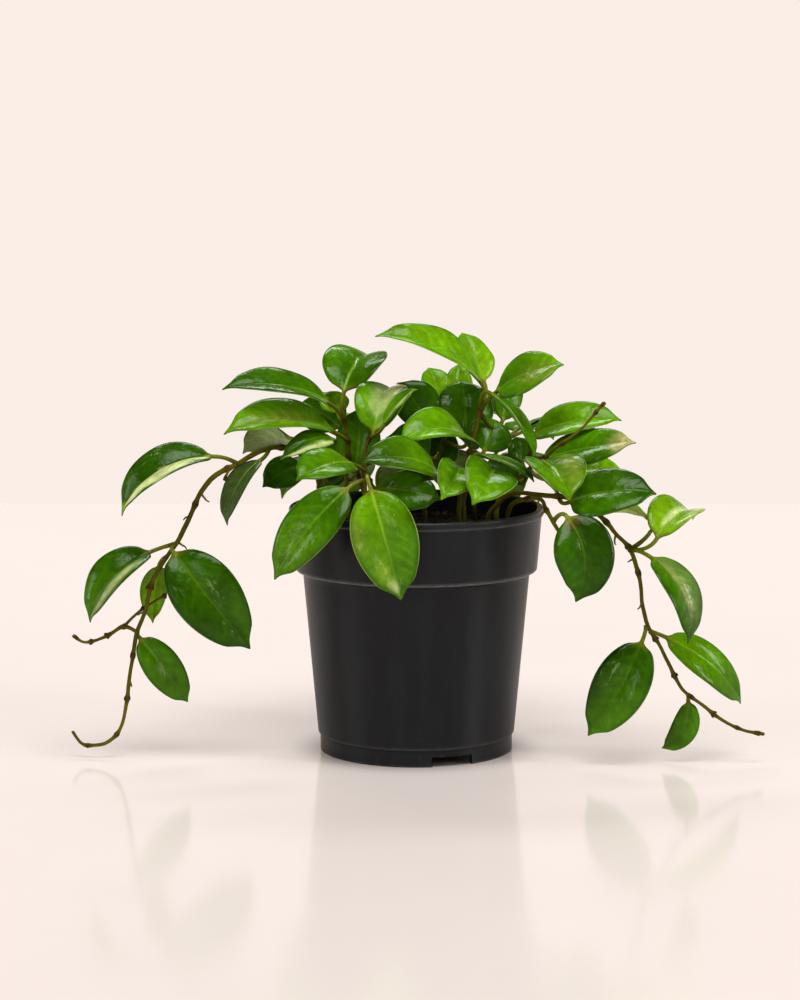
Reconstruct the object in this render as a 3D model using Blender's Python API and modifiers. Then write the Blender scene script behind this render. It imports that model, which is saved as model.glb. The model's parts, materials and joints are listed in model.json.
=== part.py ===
"""Wax plant in its black nursery pot: pot, potting mix and fourteen leafy vines.

Metres, +Z up. The origin is the middle of the pot's foot, on the surface it stands on,
and the viewer looks along +Y, with +X to the right. Lengths are written in millimetres
times MM, and the vines' points are lists of whole millimetres.
"""
import math
from typing import NamedTuple

import bmesh
import bpy
from mathutils import Matrix, Vector

MM = 0.001
GAP = 0.3 * MM                      # left between pieces that touch

# Pot: a thin moulded nursery pot with a straight collar, a tapered body and a foot ring
POT_STEPS = 32
POT_HEIGHT = 115.8 * MM
RIM_RADIUS = 60.0 * MM
RIM_BEAD = 1.2 * MM                 # radius of the rounded lip
COLLAR_TOP = 112.0 * MM
COLLAR_TOP_RADIUS = 59.1 * MM
COLLAR_FOOT = 86.4 * MM
COLLAR_FOOT_RADIUS = 57.0 * MM
BODY_TOP = 84.9 * MM
BODY_TOP_RADIUS = 53.5 * MM
BODY_FOOT = 8.2 * MM
BODY_FOOT_RADIUS = 46.5 * MM
SKIRT_RADIUS = 45.5 * MM
POT_WALL = 1.2 * MM
SKIRT_WALL = 1.6 * MM
FLOOR_UNDER = 5.0 * MM
FLOOR_WALL = 1.6 * MM
DISH_RADIUS = 16.0 * MM             # flat middle of the floor, which stands on the surface
DISH_RIM_RADIUS = 22.0 * MM
DRAIN_COUNT = 6
DRAIN_RADIUS = 4.0 * MM
DRAIN_RING = 33.0 * MM
DRAIN_FIRST = math.radians(28)
NOTCH_COUNT = 3
NOTCH_WIDTH = 20.0 * MM
NOTCH_HEIGHT = 4.6 * MM
NOTCH_FIRST = math.radians(-68.4)   # 21.6 degrees right of the front

# Potting mix
SOIL_EDGE = 104.4 * MM
SOIL_CROWN = 106.0 * MM
ROOT_DEPTH = 94.0 * MM              # height of the stems' feet in the mix
HOLE_GAP = 0.45 * MM                # the holes have eight sides, so their flats lie nearer

# Leaves: an elliptic blade, thickest at its base, on a round petiole
PETIOLE_RADIUS = 1.0
LONG_PETIOLE = 9.0                  # a longer one has a section at its middle
BLADE_THICKNESS = 1.3
THINNING = 0.35                     # share of the thickness lost towards the tip
BLADE_STATIONS = (0.08, 0.22, 0.42, 0.62, 0.80, 0.92)
SECTION = ((-1, 0), (-0.55, 1), (0, 1), (0.55, 1), (1, 0), (0.55, -1), (0, -1), (-0.55, -1))
CURL_START = 0.65

POT_COLOUR = (0.020, 0.020, 0.022)
SOIL_COLOUR = (0.045, 0.028, 0.018)
BRIGHT_GREEN = (0.150, 0.300, 0.040)
MID_GREEN = (0.085, 0.190, 0.035)
DEEP_GREEN = (0.035, 0.095, 0.025)


class Stem(NamedTuple):
    """Radii at its two ends and the points of its middle line, in millimetres."""
    start: float
    end: float
    points: list


class Leaf(NamedTuple):
    """Millimetres: where it leaves the stem, where its blade begins, and its tip.

    face points out of the blade's upper side. arch lifts the middle of the blade, as a
    share of its length, bow moves it sideways, and curl bends the tip down. fold lifts
    the two halves towards each other.
    """
    at: tuple
    base: tuple
    tip: tuple
    width: float
    face: tuple
    arch: float = 0.1
    fold: float = 0.2
    bow: float = 0.0
    curl: float = 0.0


class Vine(NamedTuple):
    colour: tuple
    stems: list
    leaves: list


VINES = {
    "vine_left_trail": Vine(MID_GREEN, [
        Stem(1.9, 1.0, [
            (-38, -8, 94), (-38, -8, 109), (-38, -8, 114), (-44, -10, 132), (-54, -7, 142),
            (-65, -12, 145), (-74, -16, 143), (-83, -20, 138), (-93, -21, 133),
            (-100, -22, 125), (-105, -22, 114), (-111, -23, 102), (-116, -24, 95),
            (-123, -25, 83), (-126, -26, 70), (-130, -26, 60), (-132, -26, 49),
            (-134, -26, 37), (-135, -26, 28), (-138, -26, 15), (-144, -26, 8),
            (-152, -25, 6), (-157, -24, 7), (-161, -22, 12)]),
        Stem(1.2, 0.8, [
            (-130, -26, 60), (-136, -28, 63), (-144, -32, 59), (-153, -36, 57),
            (-158, -40, 61)]),
        Stem(0.9, 0.7, [(-136, -28, 63), (-128, -22, 70), (-117, -16, 76)]),
        Stem(0.9, 0.7, [(-83, -20, 138), (-87, -22, 135), (-89, -24, 131)]),
    ], [
        Leaf((-83, -20, 138), (-94, -24, 142), (-137, -34, 118), 26, (-0.10, -0.38, 0.92),
             arch=0.165, fold=0.40, curl=0.05),
        Leaf((-69, -14, 144), (-72, -20, 140), (-88, -30, 111), 17, (-0.70, -0.62, 0.35),
             arch=0.13, fold=0.25),
        Leaf((-112, -23, 101), (-123, -27, 98), (-151, -38, 67), 25, (-0.35, -0.55, 0.75),
             arch=0.155, fold=0.35),
        Leaf((-112, -23, 101), (-113, -26, 98), (-77, -31, 53), 32, (0.15, -0.95, 0.25),
             arch=0.08, fold=0.15, bow=-0.02),
        Leaf((-116, -24, 95), (-120, -19, 90), (-124, -12, 62), 14, (-0.30, 0.85, 0.20),
             arch=0.08, fold=0.20),
        Leaf((-130, -26, 60), (-129, -24, 57), (-107, -18, 25), 18, (0.10, -0.95, 0.30),
             arch=0.08, fold=0.15),
    ]),
    "vine_right_trail": Vine(MID_GREEN, [
        Stem(1.9, 1.0, [
            (34, -14, 94), (34, -14, 109), (34, -14, 114), (44, -20, 124), (59, -25, 124),
            (70, -27, 123), (80, -30, 118), (86, -32, 114), (92, -34, 107), (97, -35, 102),
            (100, -36, 96), (103, -36, 85), (104, -36, 75), (107, -36, 64), (112, -36, 56),
            (117, -36, 46), (123, -36, 35), (132, -37, 28), (141, -37, 21), (151, -37, 16),
            (161, -37, 14)]),
    ], [
        Leaf((66, -26, 123), (70, -34, 122), (109, -46, 128), 29, (0, -0.62, 0.78),
             arch=0.10, fold=0.10),
        Leaf((98, -35, 100), (110, -40, 106), (130, -6, 111), 24, (-0.20, -0.70, 0.66),
             arch=0.18, fold=0.50),
        Leaf((98, -35, 100), (107, -44, 98), (124, -54, 60), 24, (0.70, -0.66, 0.30),
             arch=0.16, fold=0.15, bow=0.04),
        Leaf((108, -36, 62), (115, -33, 59), (152, -25, 26), 21, (0.35, -0.75, 0.60),
             arch=0.12, fold=0.10),
        Leaf((106, -36, 65), (104, -38, 58), (79, -41, 14), 26.5, (-0.15, -0.95, 0.20),
             arch=0.08, fold=0.12, bow=0.04),
        Leaf((126, -36, 32), (126, -34, 29), (114, -32, 6), 13, (0.10, -0.90, 0.25),
             arch=0.10, fold=0.20, bow=0.16),
        Leaf((98, -35, 100), (107, -33, 114), (85, -16, 115), 20, (0.10, 0.55, 0.80),
             arch=0.15, fold=0.10),
    ]),
    "vine_right_short": Vine(DEEP_GREEN, [
        Stem(1.6, 1.1, [
            (42, -25, 94), (42, -25, 109), (42, -25, 114), (45, -28, 121), (56, -36, 124),
            (59, -44, 120), (62, -49, 115), (65, -50, 110)]),
    ], [
        Leaf((62, -48, 115), (68, -52, 118), (72, -60, 80), 29, (0.15, -0.95, 0.30),
             arch=0.12, fold=0.10, bow=0.13),
    ]),
    "vine_tall": Vine(MID_GREEN, [
        Stem(1.9, 1.2, [
            (20, -2, 94), (20, -2, 109), (20, -2, 114), (22, -1, 128), (25, 1, 140),
            (28, 3, 151), (30, 5, 161)]),
    ], [
        Leaf((30, 5, 160), (30, 4, 174), (-19, -8, 197), 25, (0.15, -0.45, 0.88),
             arch=0.13, fold=0.35),
        Leaf((30, 5, 160), (32, 12, 173), (22, 24, 196), 20, (0.62, -0.72, 0.20),
             arch=0.05, fold=0.30, bow=0.04),
        Leaf((30, 5, 160), (38, 0, 170), (68, -12, 184), 27, (-0.15, -0.62, 0.75),
             arch=0.08, fold=0.12),
        Leaf((30, 5, 160), (35, -2, 169), (55, -16, 140), 20, (0.86, -0.30, 0.45),
             arch=0.08, fold=0.25),
        Leaf((30, 5, 159), (41, 18, 154), (47, 34, 176), 14, (0.10, -0.90, 0.30),
             arch=0.06, fold=0.20),
        Leaf((25, 1, 141), (26, -2, 143), (-9, -26, 148), 28, (0, -0.50, 0.86),
             arch=0.22, fold=0.35),
        Leaf((26, 2, 143), (32, 6, 141), (38, 16, 155), 22, (0.10, -0.90, 0.30),
             arch=0.05, fold=0.20),
    ]),
    "vine_centre": Vine(DEEP_GREEN, [
        Stem(1.7, 1.1, [
            (4, 12, 94), (4, 12, 109), (4, 12, 114), (6, 14, 128), (11, 18, 138),
            (14, 22, 148), (13, 26, 158)]),
    ], [
        Leaf((13, 21, 144), (24, 16, 145), (22, 36, 172), 28, (0.05, -0.85, 0.50),
             arch=0.10, fold=0.10),
        Leaf((13, 26, 157), (20, 41, 160), (21, 47, 179), 14, (0.10, -0.90, 0.30),
             arch=0.05, fold=0.20),
        Leaf((13, 26, 157), (12, 28, 161), (6, 36, 178), 17, (0.35, -0.85, 0.30),
             arch=0.05, fold=0.30),
        Leaf((11, 18, 138), (6, 14, 137), (-13, 10, 146), 24, (0, -0.90, 0.40),
             arch=0.08, fold=0.10),
        Leaf((14, 22, 149), (6, 18, 152), (-9, 22, 172), 24, (0.20, -0.85, 0.50),
             arch=0.10, fold=0.20),
    ]),
    "vine_left_centre": Vine(BRIGHT_GREEN, [
        Stem(1.7, 1.1, [
            (-24, -16, 94), (-24, -16, 109), (-24, -16, 114), (-24, -15, 124),
            (-24, -14, 134), (-24, -12, 143), (-21, -9, 151)]),
    ], [
        Leaf((-21, -9, 150), (-20, -13, 152), (-12, 15, 170), 25, (-0.05, -0.70, 0.70),
             arch=0.19, fold=0.45),
        Leaf((-21, -9, 150), (-15, -16, 156), (0, -16, 173), 15, (-0.55, -0.25, 0.80),
             arch=0.06, fold=0.20),
        Leaf((-24, -14, 134), (-30, -20, 138), (-55, -46, 134), 24, (0, -0.60, 0.80),
             arch=0.10, fold=0.20),
    ]),
    "vine_left_upper": Vine(MID_GREEN, [
        Stem(1.7, 1.1, [
            (-32, 4, 94), (-32, 4, 109), (-32, 4, 114), (-33, 4, 126), (-32, 5, 142),
            (-33, 5, 150), (-34, 5, 157)]),
    ], [
        Leaf((-34, 5, 156), (-34, 5, 169), (-22, 38, 183), 31, (-0.15, -0.70, 0.70),
             arch=0.17, fold=0.35),
        Leaf((-34, 5, 155), (-41, 2, 164), (-90, -16, 173), 25, (0.05, -0.42, 0.90),
             arch=0.10, fold=0.30),
        Leaf((-32, 5, 146), (-39, 0, 151), (-89, -24, 153), 28, (0.05, -0.45, 0.90),
             arch=0.13, fold=0.30),
        Leaf((-32, 5, 139), (-35, 12, 135), (-54, 22, 137), 22, (0, -0.90, 0.30),
             arch=0.08, fold=0.10),
        Leaf((-34, 5, 156), (-37, 12, 158), (-42, 20, 168), 15, (0.30, -0.85, 0.40),
             arch=0.05, fold=0.20),
        Leaf((-33, 5, 149), (-36, 14, 151), (-55, 30, 162), 24, (0.10, -0.85, 0.50),
             arch=0.08, fold=0.20),
    ]),
    "vine_left_low": Vine(MID_GREEN, [
        Stem(1.5, 1.0, [
            (-45, 8, 94), (-45, 8, 109), (-45, 8, 114), (-46, 7, 124), (-49, 6, 136),
            (-51, 7, 142), (-52, 8, 146)]),
    ], [
        Leaf((-51, 7, 143), (-39, -8, 148), (-63, -26, 141), 13, (0, -0.75, 0.66),
             arch=0.20, fold=0.0),
        Leaf((-49, 6, 137), (-54, 2, 135), (-72, -8, 126), 18, (-0.10, -0.85, 0.50),
             arch=0.08, fold=0.15),
        Leaf((-52, 8, 145), (-60, 16, 146), (-83, 26, 138), 23, (0, 0.70, 0.70),
             arch=0.16, fold=0.10),
    ]),
    "vine_front": Vine(MID_GREEN, [
        Stem(1.6, 1.1, [
            (-14, -34, 94), (-14, -34, 109), (-14, -34, 114), (-16, -36, 122),
            (-21, -42, 132), (-22, -45, 135)]),
    ], [
        Leaf((-22, -44, 134), (-21, -61, 132), (-7, -68, 82), 31, (0.05, -0.97, 0.20),
             arch=0.07, fold=0.12),
        Leaf((-21, -43, 133), (-31, -52, 131), (-65, -58, 90), 26, (-0.35, -0.85, 0.35),
             arch=0.10, fold=0.12),
        Leaf((-21, -42, 131), (-17, -42, 129), (11, -51, 126), 21, (0, -0.85, 0.50),
             arch=0.10, fold=0.10),
    ]),
    "vine_front_right": Vine(BRIGHT_GREEN, [
        Stem(1.6, 1.1, [
            (22, -32, 94), (22, -32, 109), (22, -32, 114), (22, -30, 126), (25, -27, 136),
            (26, -24, 141)]),
    ], [
        Leaf((25, -27, 137), (9, -32, 136), (-25, -50, 143), 26, (0, -0.60, 0.80),
             arch=0.13, fold=0.25),
        Leaf((25, -27, 136), (20, -32, 137), (11, -60, 127), 20, (0.40, -0.50, 0.75),
             arch=0.14, fold=0.30),
        Leaf((25, -27, 136), (36, -32, 137), (25, -62, 125), 26, (0.30, -0.60, 0.72),
             arch=0.14, fold=0.30),
        Leaf((26, -24, 141), (28, -24, 143), (54, -40, 133), 20, (0.38, -0.10, 0.92),
             arch=0.05, fold=0.15),
    ]),
    "vine_right_upper": Vine(DEEP_GREEN, [
        Stem(1.7, 1.1, [
            (38, 2, 94), (38, 2, 109), (38, 2, 114), (41, 2, 124), (53, 2, 132),
            (54, 3, 139), (54, 4, 144)]),
        Stem(1.2, 0.8, [
            (54, 3, 138), (60, -16, 141), (64, -24, 146), (75, -30, 155), (84, -34, 166),
            (86, -35, 168)]),
    ], [
        Leaf((54, 4, 143), (55, 6, 148), (96, -2, 157), 24, (-0.05, -0.55, 0.83),
             arch=0.09, fold=0.30),
        Leaf((54, 3, 138), (58, -6, 138), (101, -24, 149), 26, (0, -0.62, 0.78),
             arch=0.03, fold=0.12),
        Leaf((54, 3, 135), (58, -22, 139), (69, -54, 126), 28, (0.15, -0.50, 0.85),
             arch=0.10, fold=0.45),
        Leaf((53, 2, 133), (69, 10, 128), (100, 16, 128), 20, (0, -0.62, 0.78),
             arch=0.15, fold=0.10),
        Leaf((52, 2, 131), (48, 8, 126), (33, 10, 134), 22, (0, -0.90, 0.40),
             arch=0.08, fold=0.10),
        Leaf((53, 2, 132), (50, 10, 136), (47, 13, 147), 13, (0.20, -0.85, 0.40),
             arch=0.06, fold=0.30),
    ]),
    "vine_back_left": Vine(DEEP_GREEN, [
        Stem(1.6, 1.1, [
            (-24, 28, 94), (-24, 28, 109), (-24, 28, 114), (-27, 31, 124), (-32, 35, 136),
            (-36, 38, 146)]),
    ], [
        Leaf((-35, 37, 144), (-42, 40, 147), (-80, 52, 142), 26, (-0.30, 0.35, 0.90),
             arch=0.16, fold=0.20),
        Leaf((-35, 38, 145), (-36, 44, 150), (-56, 67, 150), 25, (0, 0.40, 0.90),
             arch=0.16, fold=0.20),
        Leaf((-30, 33, 131), (-36, 39, 132), (-66, 58, 112), 27, (-0.50, 0.50, 0.70),
             arch=0.18, fold=0.15),
        Leaf((-28, 32, 126), (-29, 38, 130), (-38, 68, 104), 28, (-0.10, 0.70, 0.70),
             arch=0.20, fold=0.15),
    ]),
    "vine_back": Vine(MID_GREEN, [
        Stem(1.6, 1.1, [
            (4, 36, 94), (4, 36, 109), (4, 36, 114), (4, 38, 126), (6, 42, 142),
            (10, 45, 154)]),
    ], [
        Leaf((10, 45, 153), (15, 49, 158), (44, 66, 150), 24, (0.10, 0.40, 0.90),
             arch=0.14, fold=0.20),
        Leaf((9, 44, 151), (4, 50, 154), (-26, 68, 146), 25, (-0.10, 0.40, 0.90),
             arch=0.16, fold=0.20),
        Leaf((5, 40, 133), (9, 46, 135), (24, 69, 106), 29, (0.10, 0.70, 0.70),
             arch=0.20, fold=0.15),
        Leaf((4, 38, 126), (0, 45, 130), (-12, 69, 101), 27, (-0.10, 0.70, 0.70),
             arch=0.20, fold=0.15),
        Leaf((10, 45, 153), (14, 44, 160), (26, 46, 170), 16, (0, 0.80, 0.50),
             arch=0.05, fold=0.30),
    ]),
    "vine_back_right": Vine(DEEP_GREEN, [
        Stem(1.6, 1.1, [
            (28, 26, 94), (28, 26, 109), (28, 26, 114), (30, 28, 124), (38, 33, 136),
            (46, 38, 145)]),
    ], [
        Leaf((45, 37, 144), (53, 40, 147), (90, 56, 138), 26, (0.30, 0.35, 0.90),
             arch=0.16, fold=0.20),
        Leaf((44, 37, 143), (48, 44, 146), (68, 69, 140), 26, (0.10, 0.40, 0.90),
             arch=0.16, fold=0.20),
        Leaf((37, 32, 134), (43, 37, 135), (70, 56, 113), 27, (0.50, 0.50, 0.70),
             arch=0.18, fold=0.15),
        Leaf((31, 29, 126), (35, 37, 130), (46, 68, 104), 27, (0.20, 0.70, 0.70),
             arch=0.20, fold=0.15),
    ]),
}


def clear_scene():
    for thing in list(bpy.data.objects):
        bpy.data.objects.remove(thing, do_unlink=True)


def new_collection(name):
    collection = bpy.data.collections.new(name)
    bpy.context.scene.collection.children.link(collection)
    return collection


def plain_material(name, colour, roughness):
    material = bpy.data.materials.new(name)
    material.use_nodes = True
    shader = material.node_tree.nodes["Principled BSDF"]
    shader.inputs["Base Color"].default_value = (*colour, 1.0)
    shader.inputs["Roughness"].default_value = roughness
    shader.inputs["Metallic"].default_value = 0.0
    return material


def turned(name, profile, collection, material):
    """A solid of revolution about Z from an (r, z) outline that starts and ends on Z."""
    mesh = bpy.data.meshes.new(name)
    points = [(radius, 0.0, height) for radius, height in profile]
    mesh.from_pydata(points, [(i, i + 1) for i in range(len(points) - 1)], [])
    mesh.materials.append(material)
    piece = bpy.data.objects.new(name, mesh)
    collection.objects.link(piece)
    screw = piece.modifiers.new("turn", "SCREW")
    screw.axis = "Z"
    screw.angle = math.tau
    screw.steps = POT_STEPS
    screw.render_steps = POT_STEPS
    screw.use_merge_vertices = True
    screw.merge_threshold = 0.00001
    screw.use_smooth_shade = True
    return piece


def cut(piece, cutters):
    """Cuts every object of a collection out of a piece."""
    boolean = piece.modifiers.new("cut", "BOOLEAN")
    boolean.operation = "DIFFERENCE"
    boolean.operand_type = "COLLECTION"
    boolean.collection = cutters


def add_cutter(shape, name, cutters):
    shape.name = name
    for holder in list(shape.users_collection):
        holder.objects.unlink(shape)
    cutters.objects.link(shape)
    shape.hide_render = True
    shape.display_type = "WIRE"


def arc(centre, radius, first, last, steps):
    """Points of an arc in the (r, z) plane; angles in degrees."""
    points = []
    for i in range(steps + 1):
        angle = math.radians(first + (last - first) * i / steps)
        points.append((centre[0] + radius * math.cos(angle), centre[1] + radius * math.sin(angle)))
    return points


def cavity(clear):
    """The pot's inner side from the middle of its floor to the foot of its lip.

    clear moves it towards the middle of the pot, which gives the potting mix its side.
    """
    floor = FLOOR_UNDER + FLOOR_WALL
    return [
        (0.0, FLOOR_WALL + clear),
        (DISH_RADIUS - clear, FLOOR_WALL + clear),
        (DISH_RIM_RADIUS - clear, floor + clear),
        (BODY_FOOT_RADIUS - POT_WALL - 1.6 * MM - clear, floor + clear),
        (BODY_FOOT_RADIUS - POT_WALL - clear, floor + 1.8 * MM + clear),
        (BODY_TOP_RADIUS - POT_WALL - clear, BODY_TOP + 0.6 * MM),
        (BODY_TOP_RADIUS - POT_WALL + 0.7 * MM - clear, COLLAR_FOOT + 0.6 * MM + clear),
        (COLLAR_FOOT_RADIUS - POT_WALL - clear, COLLAR_FOOT + 1.8 * MM + clear),
        (COLLAR_TOP_RADIUS - POT_WALL - clear, COLLAR_TOP),
    ]


def pot_profile():
    bead = (RIM_RADIUS - RIM_BEAD, POT_HEIGHT - RIM_BEAD)
    inner_skirt = SKIRT_RADIUS - SKIRT_WALL
    return (
        cavity(0.0)
        + arc(bead, RIM_BEAD, 180, 0, 4)
        + [
            (RIM_RADIUS, COLLAR_TOP + 0.6 * MM),
            (COLLAR_TOP_RADIUS, COLLAR_TOP),
        ]
        + [
            (COLLAR_FOOT_RADIUS, COLLAR_FOOT + 0.5 * MM),
            (COLLAR_FOOT_RADIUS - 0.8 * MM, COLLAR_FOOT - 0.5 * MM),
            (BODY_TOP_RADIUS, BODY_TOP),
            (BODY_FOOT_RADIUS, BODY_FOOT + 0.4 * MM),
            (SKIRT_RADIUS, BODY_FOOT - 0.6 * MM),
            (SKIRT_RADIUS, 0.5 * MM),
            (SKIRT_RADIUS - 0.4 * MM, 0.0),
            (inner_skirt, 0.0),
            (inner_skirt, FLOOR_UNDER),
            (DISH_RIM_RADIUS, FLOOR_UNDER),
            (DISH_RADIUS, 0.0),
            (0.0, 0.0),
        ]
    )


def pot_cutters(cutters):
    for i in range(DRAIN_COUNT):
        angle = DRAIN_FIRST + math.tau * i / DRAIN_COUNT
        place = (DRAIN_RING * math.cos(angle), DRAIN_RING * math.sin(angle), FLOOR_UNDER)
        bpy.ops.mesh.primitive_cylinder_add(
            vertices=16, radius=DRAIN_RADIUS, depth=4 * FLOOR_WALL, location=place)
        add_cutter(bpy.context.active_object, f"drain_{i + 1}", cutters)
    for i in range(NOTCH_COUNT):
        angle = NOTCH_FIRST + math.tau * i / NOTCH_COUNT
        middle = SKIRT_RADIUS - SKIRT_WALL / 2
        place = (middle * math.cos(angle), middle * math.sin(angle), 0.0)
        bpy.ops.mesh.primitive_cube_add(size=1.0, location=place, rotation=(0, 0, angle))
        notch = bpy.context.active_object
        notch.scale = (6 * SKIRT_WALL, NOTCH_WIDTH, 2 * NOTCH_HEIGHT)
        bpy.ops.object.transform_apply(location=False, rotation=False, scale=True)
        add_cutter(notch, f"notch_{i + 1}", cutters)


def pot(parts, cutters):
    material = plain_material("black_plastic", POT_COLOUR, 0.42)
    piece = turned("pot", pot_profile(), parts, material)
    pot_cutters(cutters)
    cut(piece, cutters)
    return piece


def soil_profile():
    """The mix's outline: down the pot's inner side from the domed top, read inside out."""
    side = [point for point in cavity(GAP) if point[1] < SOIL_EDGE]
    low, top = side[-1], cavity(GAP)[-1]
    share = (SOIL_EDGE - low[1]) / (top[1] - low[1])
    edge = (low[0] + share * (top[0] - low[0]), SOIL_EDGE)
    rise = SOIL_CROWN - SOIL_EDGE
    dome = [(edge[0] * r, SOIL_EDGE + rise * (1 - r * r)) for r in (0.95, 0.6, 0.25)]
    outside = side + [edge]
    return [(0.0, SOIL_CROWN)] + dome[::-1] + outside[::-1]


def potting_mix(parts, cutters):
    """The mix, with a plain round hole for the foot of each stem."""
    material = plain_material("potting_mix", SOIL_COLOUR, 0.95)
    piece = turned("potting_mix", soil_profile(), parts, material)
    for name, vine in VINES.items():
        foot = vine.stems[0]
        radius = foot.start * MM + HOLE_GAP
        bottom = ROOT_DEPTH - GAP
        depth = SOIL_CROWN + 4 * MM - bottom
        place = (foot.points[0][0] * MM, foot.points[0][1] * MM, bottom + depth / 2)
        bpy.ops.mesh.primitive_cylinder_add(
            vertices=8, radius=radius, depth=depth, location=place)
        add_cutter(bpy.context.active_object, f"hole_{name}", cutters)
    cut(piece, cutters)
    return piece


def smooth_route(points, steps=2):
    """A smooth curve through the points, as a finer list of points."""
    knots = [Vector(point) for point in points]
    last = len(knots) - 1
    route = []
    for i in range(last):
        before, here = knots[max(0, i - 1)], knots[i]
        there, after = knots[i + 1], knots[min(last, i + 2)]
        for k in range(steps):
            t = k / steps
            route.append(0.5 * (
                2 * here
                + (there - before) * t
                + (2 * before - 5 * here + 4 * there - after) * t ** 2
                + (3 * here - before - 3 * there + after) * t ** 3))
    route.append(knots[last])
    return route


def stem_mesh(name, stem):
    """A tapering six-sided tube along the stem, as a closed mesh in metres."""
    route = smooth_route(stem.points)
    curve = bpy.data.curves.new(name, "CURVE")
    curve.dimensions = "3D"
    curve.bevel_depth = stem.start * MM
    curve.bevel_resolution = 1
    curve.use_fill_caps = True
    spline = curve.splines.new("POLY")
    spline.points.add(len(route) - 1)
    for i, (point, place) in enumerate(zip(spline.points, route)):
        point.co = (*(place * MM), 1.0)
        point.radius = 1 + (stem.end / stem.start - 1) * i / (len(route) - 1)
    tube = bpy.data.objects.new(name, curve)
    bpy.context.scene.collection.objects.link(tube)
    depsgraph = bpy.context.evaluated_depsgraph_get()
    mesh = bpy.data.meshes.new_from_object(tube.evaluated_get(depsgraph))
    mesh.transform(tube.matrix_world)
    bpy.data.objects.remove(tube)
    bm = bmesh.new()
    bm.from_mesh(mesh)
    bmesh.ops.remove_doubles(bm, verts=bm.verts, dist=0.00001)
    bm.to_mesh(mesh)
    bm.free()
    return mesh


def blade_width(s):
    """Half the blade's width at a share s of its length, as a share of its widest half."""
    return s ** 0.6 * (1 - s) ** 0.78 / 0.3995


class Blade:
    """The middle line of a leaf and the directions of its cross-sections."""

    def __init__(self, leaf):
        self.leaf = leaf
        self.base = Vector(leaf.base)
        self.span = Vector(leaf.tip) - self.base
        self.length = self.span.length
        self.along = self.span.normalized()
        face = Vector(leaf.face)
        self.up = (face - face.dot(self.along) * self.along).normalized()
        self.side = self.up.cross(self.along)

    def middle(self, s):
        leaf = self.leaf
        hump = 4 * s * (1 - s)
        bend = max(0.0, (s - CURL_START) / (1 - CURL_START)) ** 2
        rise = self.length * (leaf.arch * hump - leaf.curl * bend)
        return self.base + self.span * s + self.up * rise + self.side * self.length * leaf.bow * hump

    def tangent(self, s):
        step = 0.001
        return (self.middle(min(1, s + step)) - self.middle(max(0, s - step))).normalized()

    def frame(self, tangent):
        """Directions out of the upper side and across, square to the tangent."""
        up = self.up - self.up.dot(tangent) * tangent
        if up.length < 0.05:
            up = self.along - self.along.dot(tangent) * tangent
        up.normalize()
        return up, tangent.cross(up)

    def petiole_ring(self, t):
        """A round section at a share t of the way from the stem to the blade."""
        start = Vector(self.leaf.at)
        bend = self.base - self.tangent(0) * (self.base - start).length * 0.55
        centre = (1 - t) ** 2 * start + 2 * t * (1 - t) * bend + t * t * self.base
        tangent = (1 - t) * (bend - start) + t * (self.base - bend)
        up, side = self.frame(tangent.normalized())
        radius = PETIOLE_RADIUS * (1.15 - 0.3 * t)
        return self.round_ring(centre, side * radius, up * radius)

    def round_ring(self, centre, side, up):
        ring = []
        for i in range(len(SECTION)):
            angle = math.pi - math.tau * i / len(SECTION)
            ring.append(centre + side * math.cos(angle) + up * math.sin(angle))
        return ring

    def blade_ring(self, s):
        """A flat section of the blade, folded up at its two sides."""
        leaf = self.leaf
        up, side = self.frame(self.tangent(s))
        half = max(PETIOLE_RADIUS, leaf.width / 2 * blade_width(s))
        thickness = BLADE_THICKNESS * (1 - THINNING * s)
        ring = []
        for across, level in SECTION:
            midrib = 1.15 if across == 0 else 0.85
            lift = half * leaf.fold * abs(across) + level * midrib * thickness / 2
            ring.append(self.middle(s) + side * half * across + up * lift)
        return ring

    def rings(self):
        up, side = self.frame(self.tangent(0))
        collar = self.round_ring(self.base, side * PETIOLE_RADIUS * 1.1, up * PETIOLE_RADIUS * 0.9)
        petiole = [self.petiole_ring(0.0)]
        if (self.base - Vector(self.leaf.at)).length > LONG_PETIOLE:
            petiole.append(self.petiole_ring(0.5))
        return petiole + [collar] + [self.blade_ring(s) for s in BLADE_STATIONS]


def leaf_mesh(name, leaf):
    """One leaf as a closed loft: the split of each quad is the same on both faces."""
    blade = Blade(leaf)
    bm = bmesh.new()
    rings = [[bm.verts.new(point * MM) for point in ring] for ring in blade.rings()]
    tip = bm.verts.new(blade.middle(1.0) * MM)
    sides = len(SECTION)
    for near, far in zip(rings, rings[1:]):
        for j in range(sides):
            k = (j + 1) % sides
            if j % 4 < 2:
                bm.faces.new((near[j], near[k], far[k]))
                bm.faces.new((near[j], far[k], far[j]))
            else:
                bm.faces.new((near[j], near[k], far[j]))
                bm.faces.new((near[k], far[k], far[j]))
    for j in range(sides):
        bm.faces.new((rings[-1][j], rings[-1][(j + 1) % sides], tip))
    bm.faces.new(rings[0][::-1])
    if bm.calc_volume(signed=True) < 0:
        bmesh.ops.reverse_faces(bm, faces=bm.faces)
    mesh = bpy.data.meshes.new(name)
    bm.to_mesh(mesh)
    bm.free()
    return mesh


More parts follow.
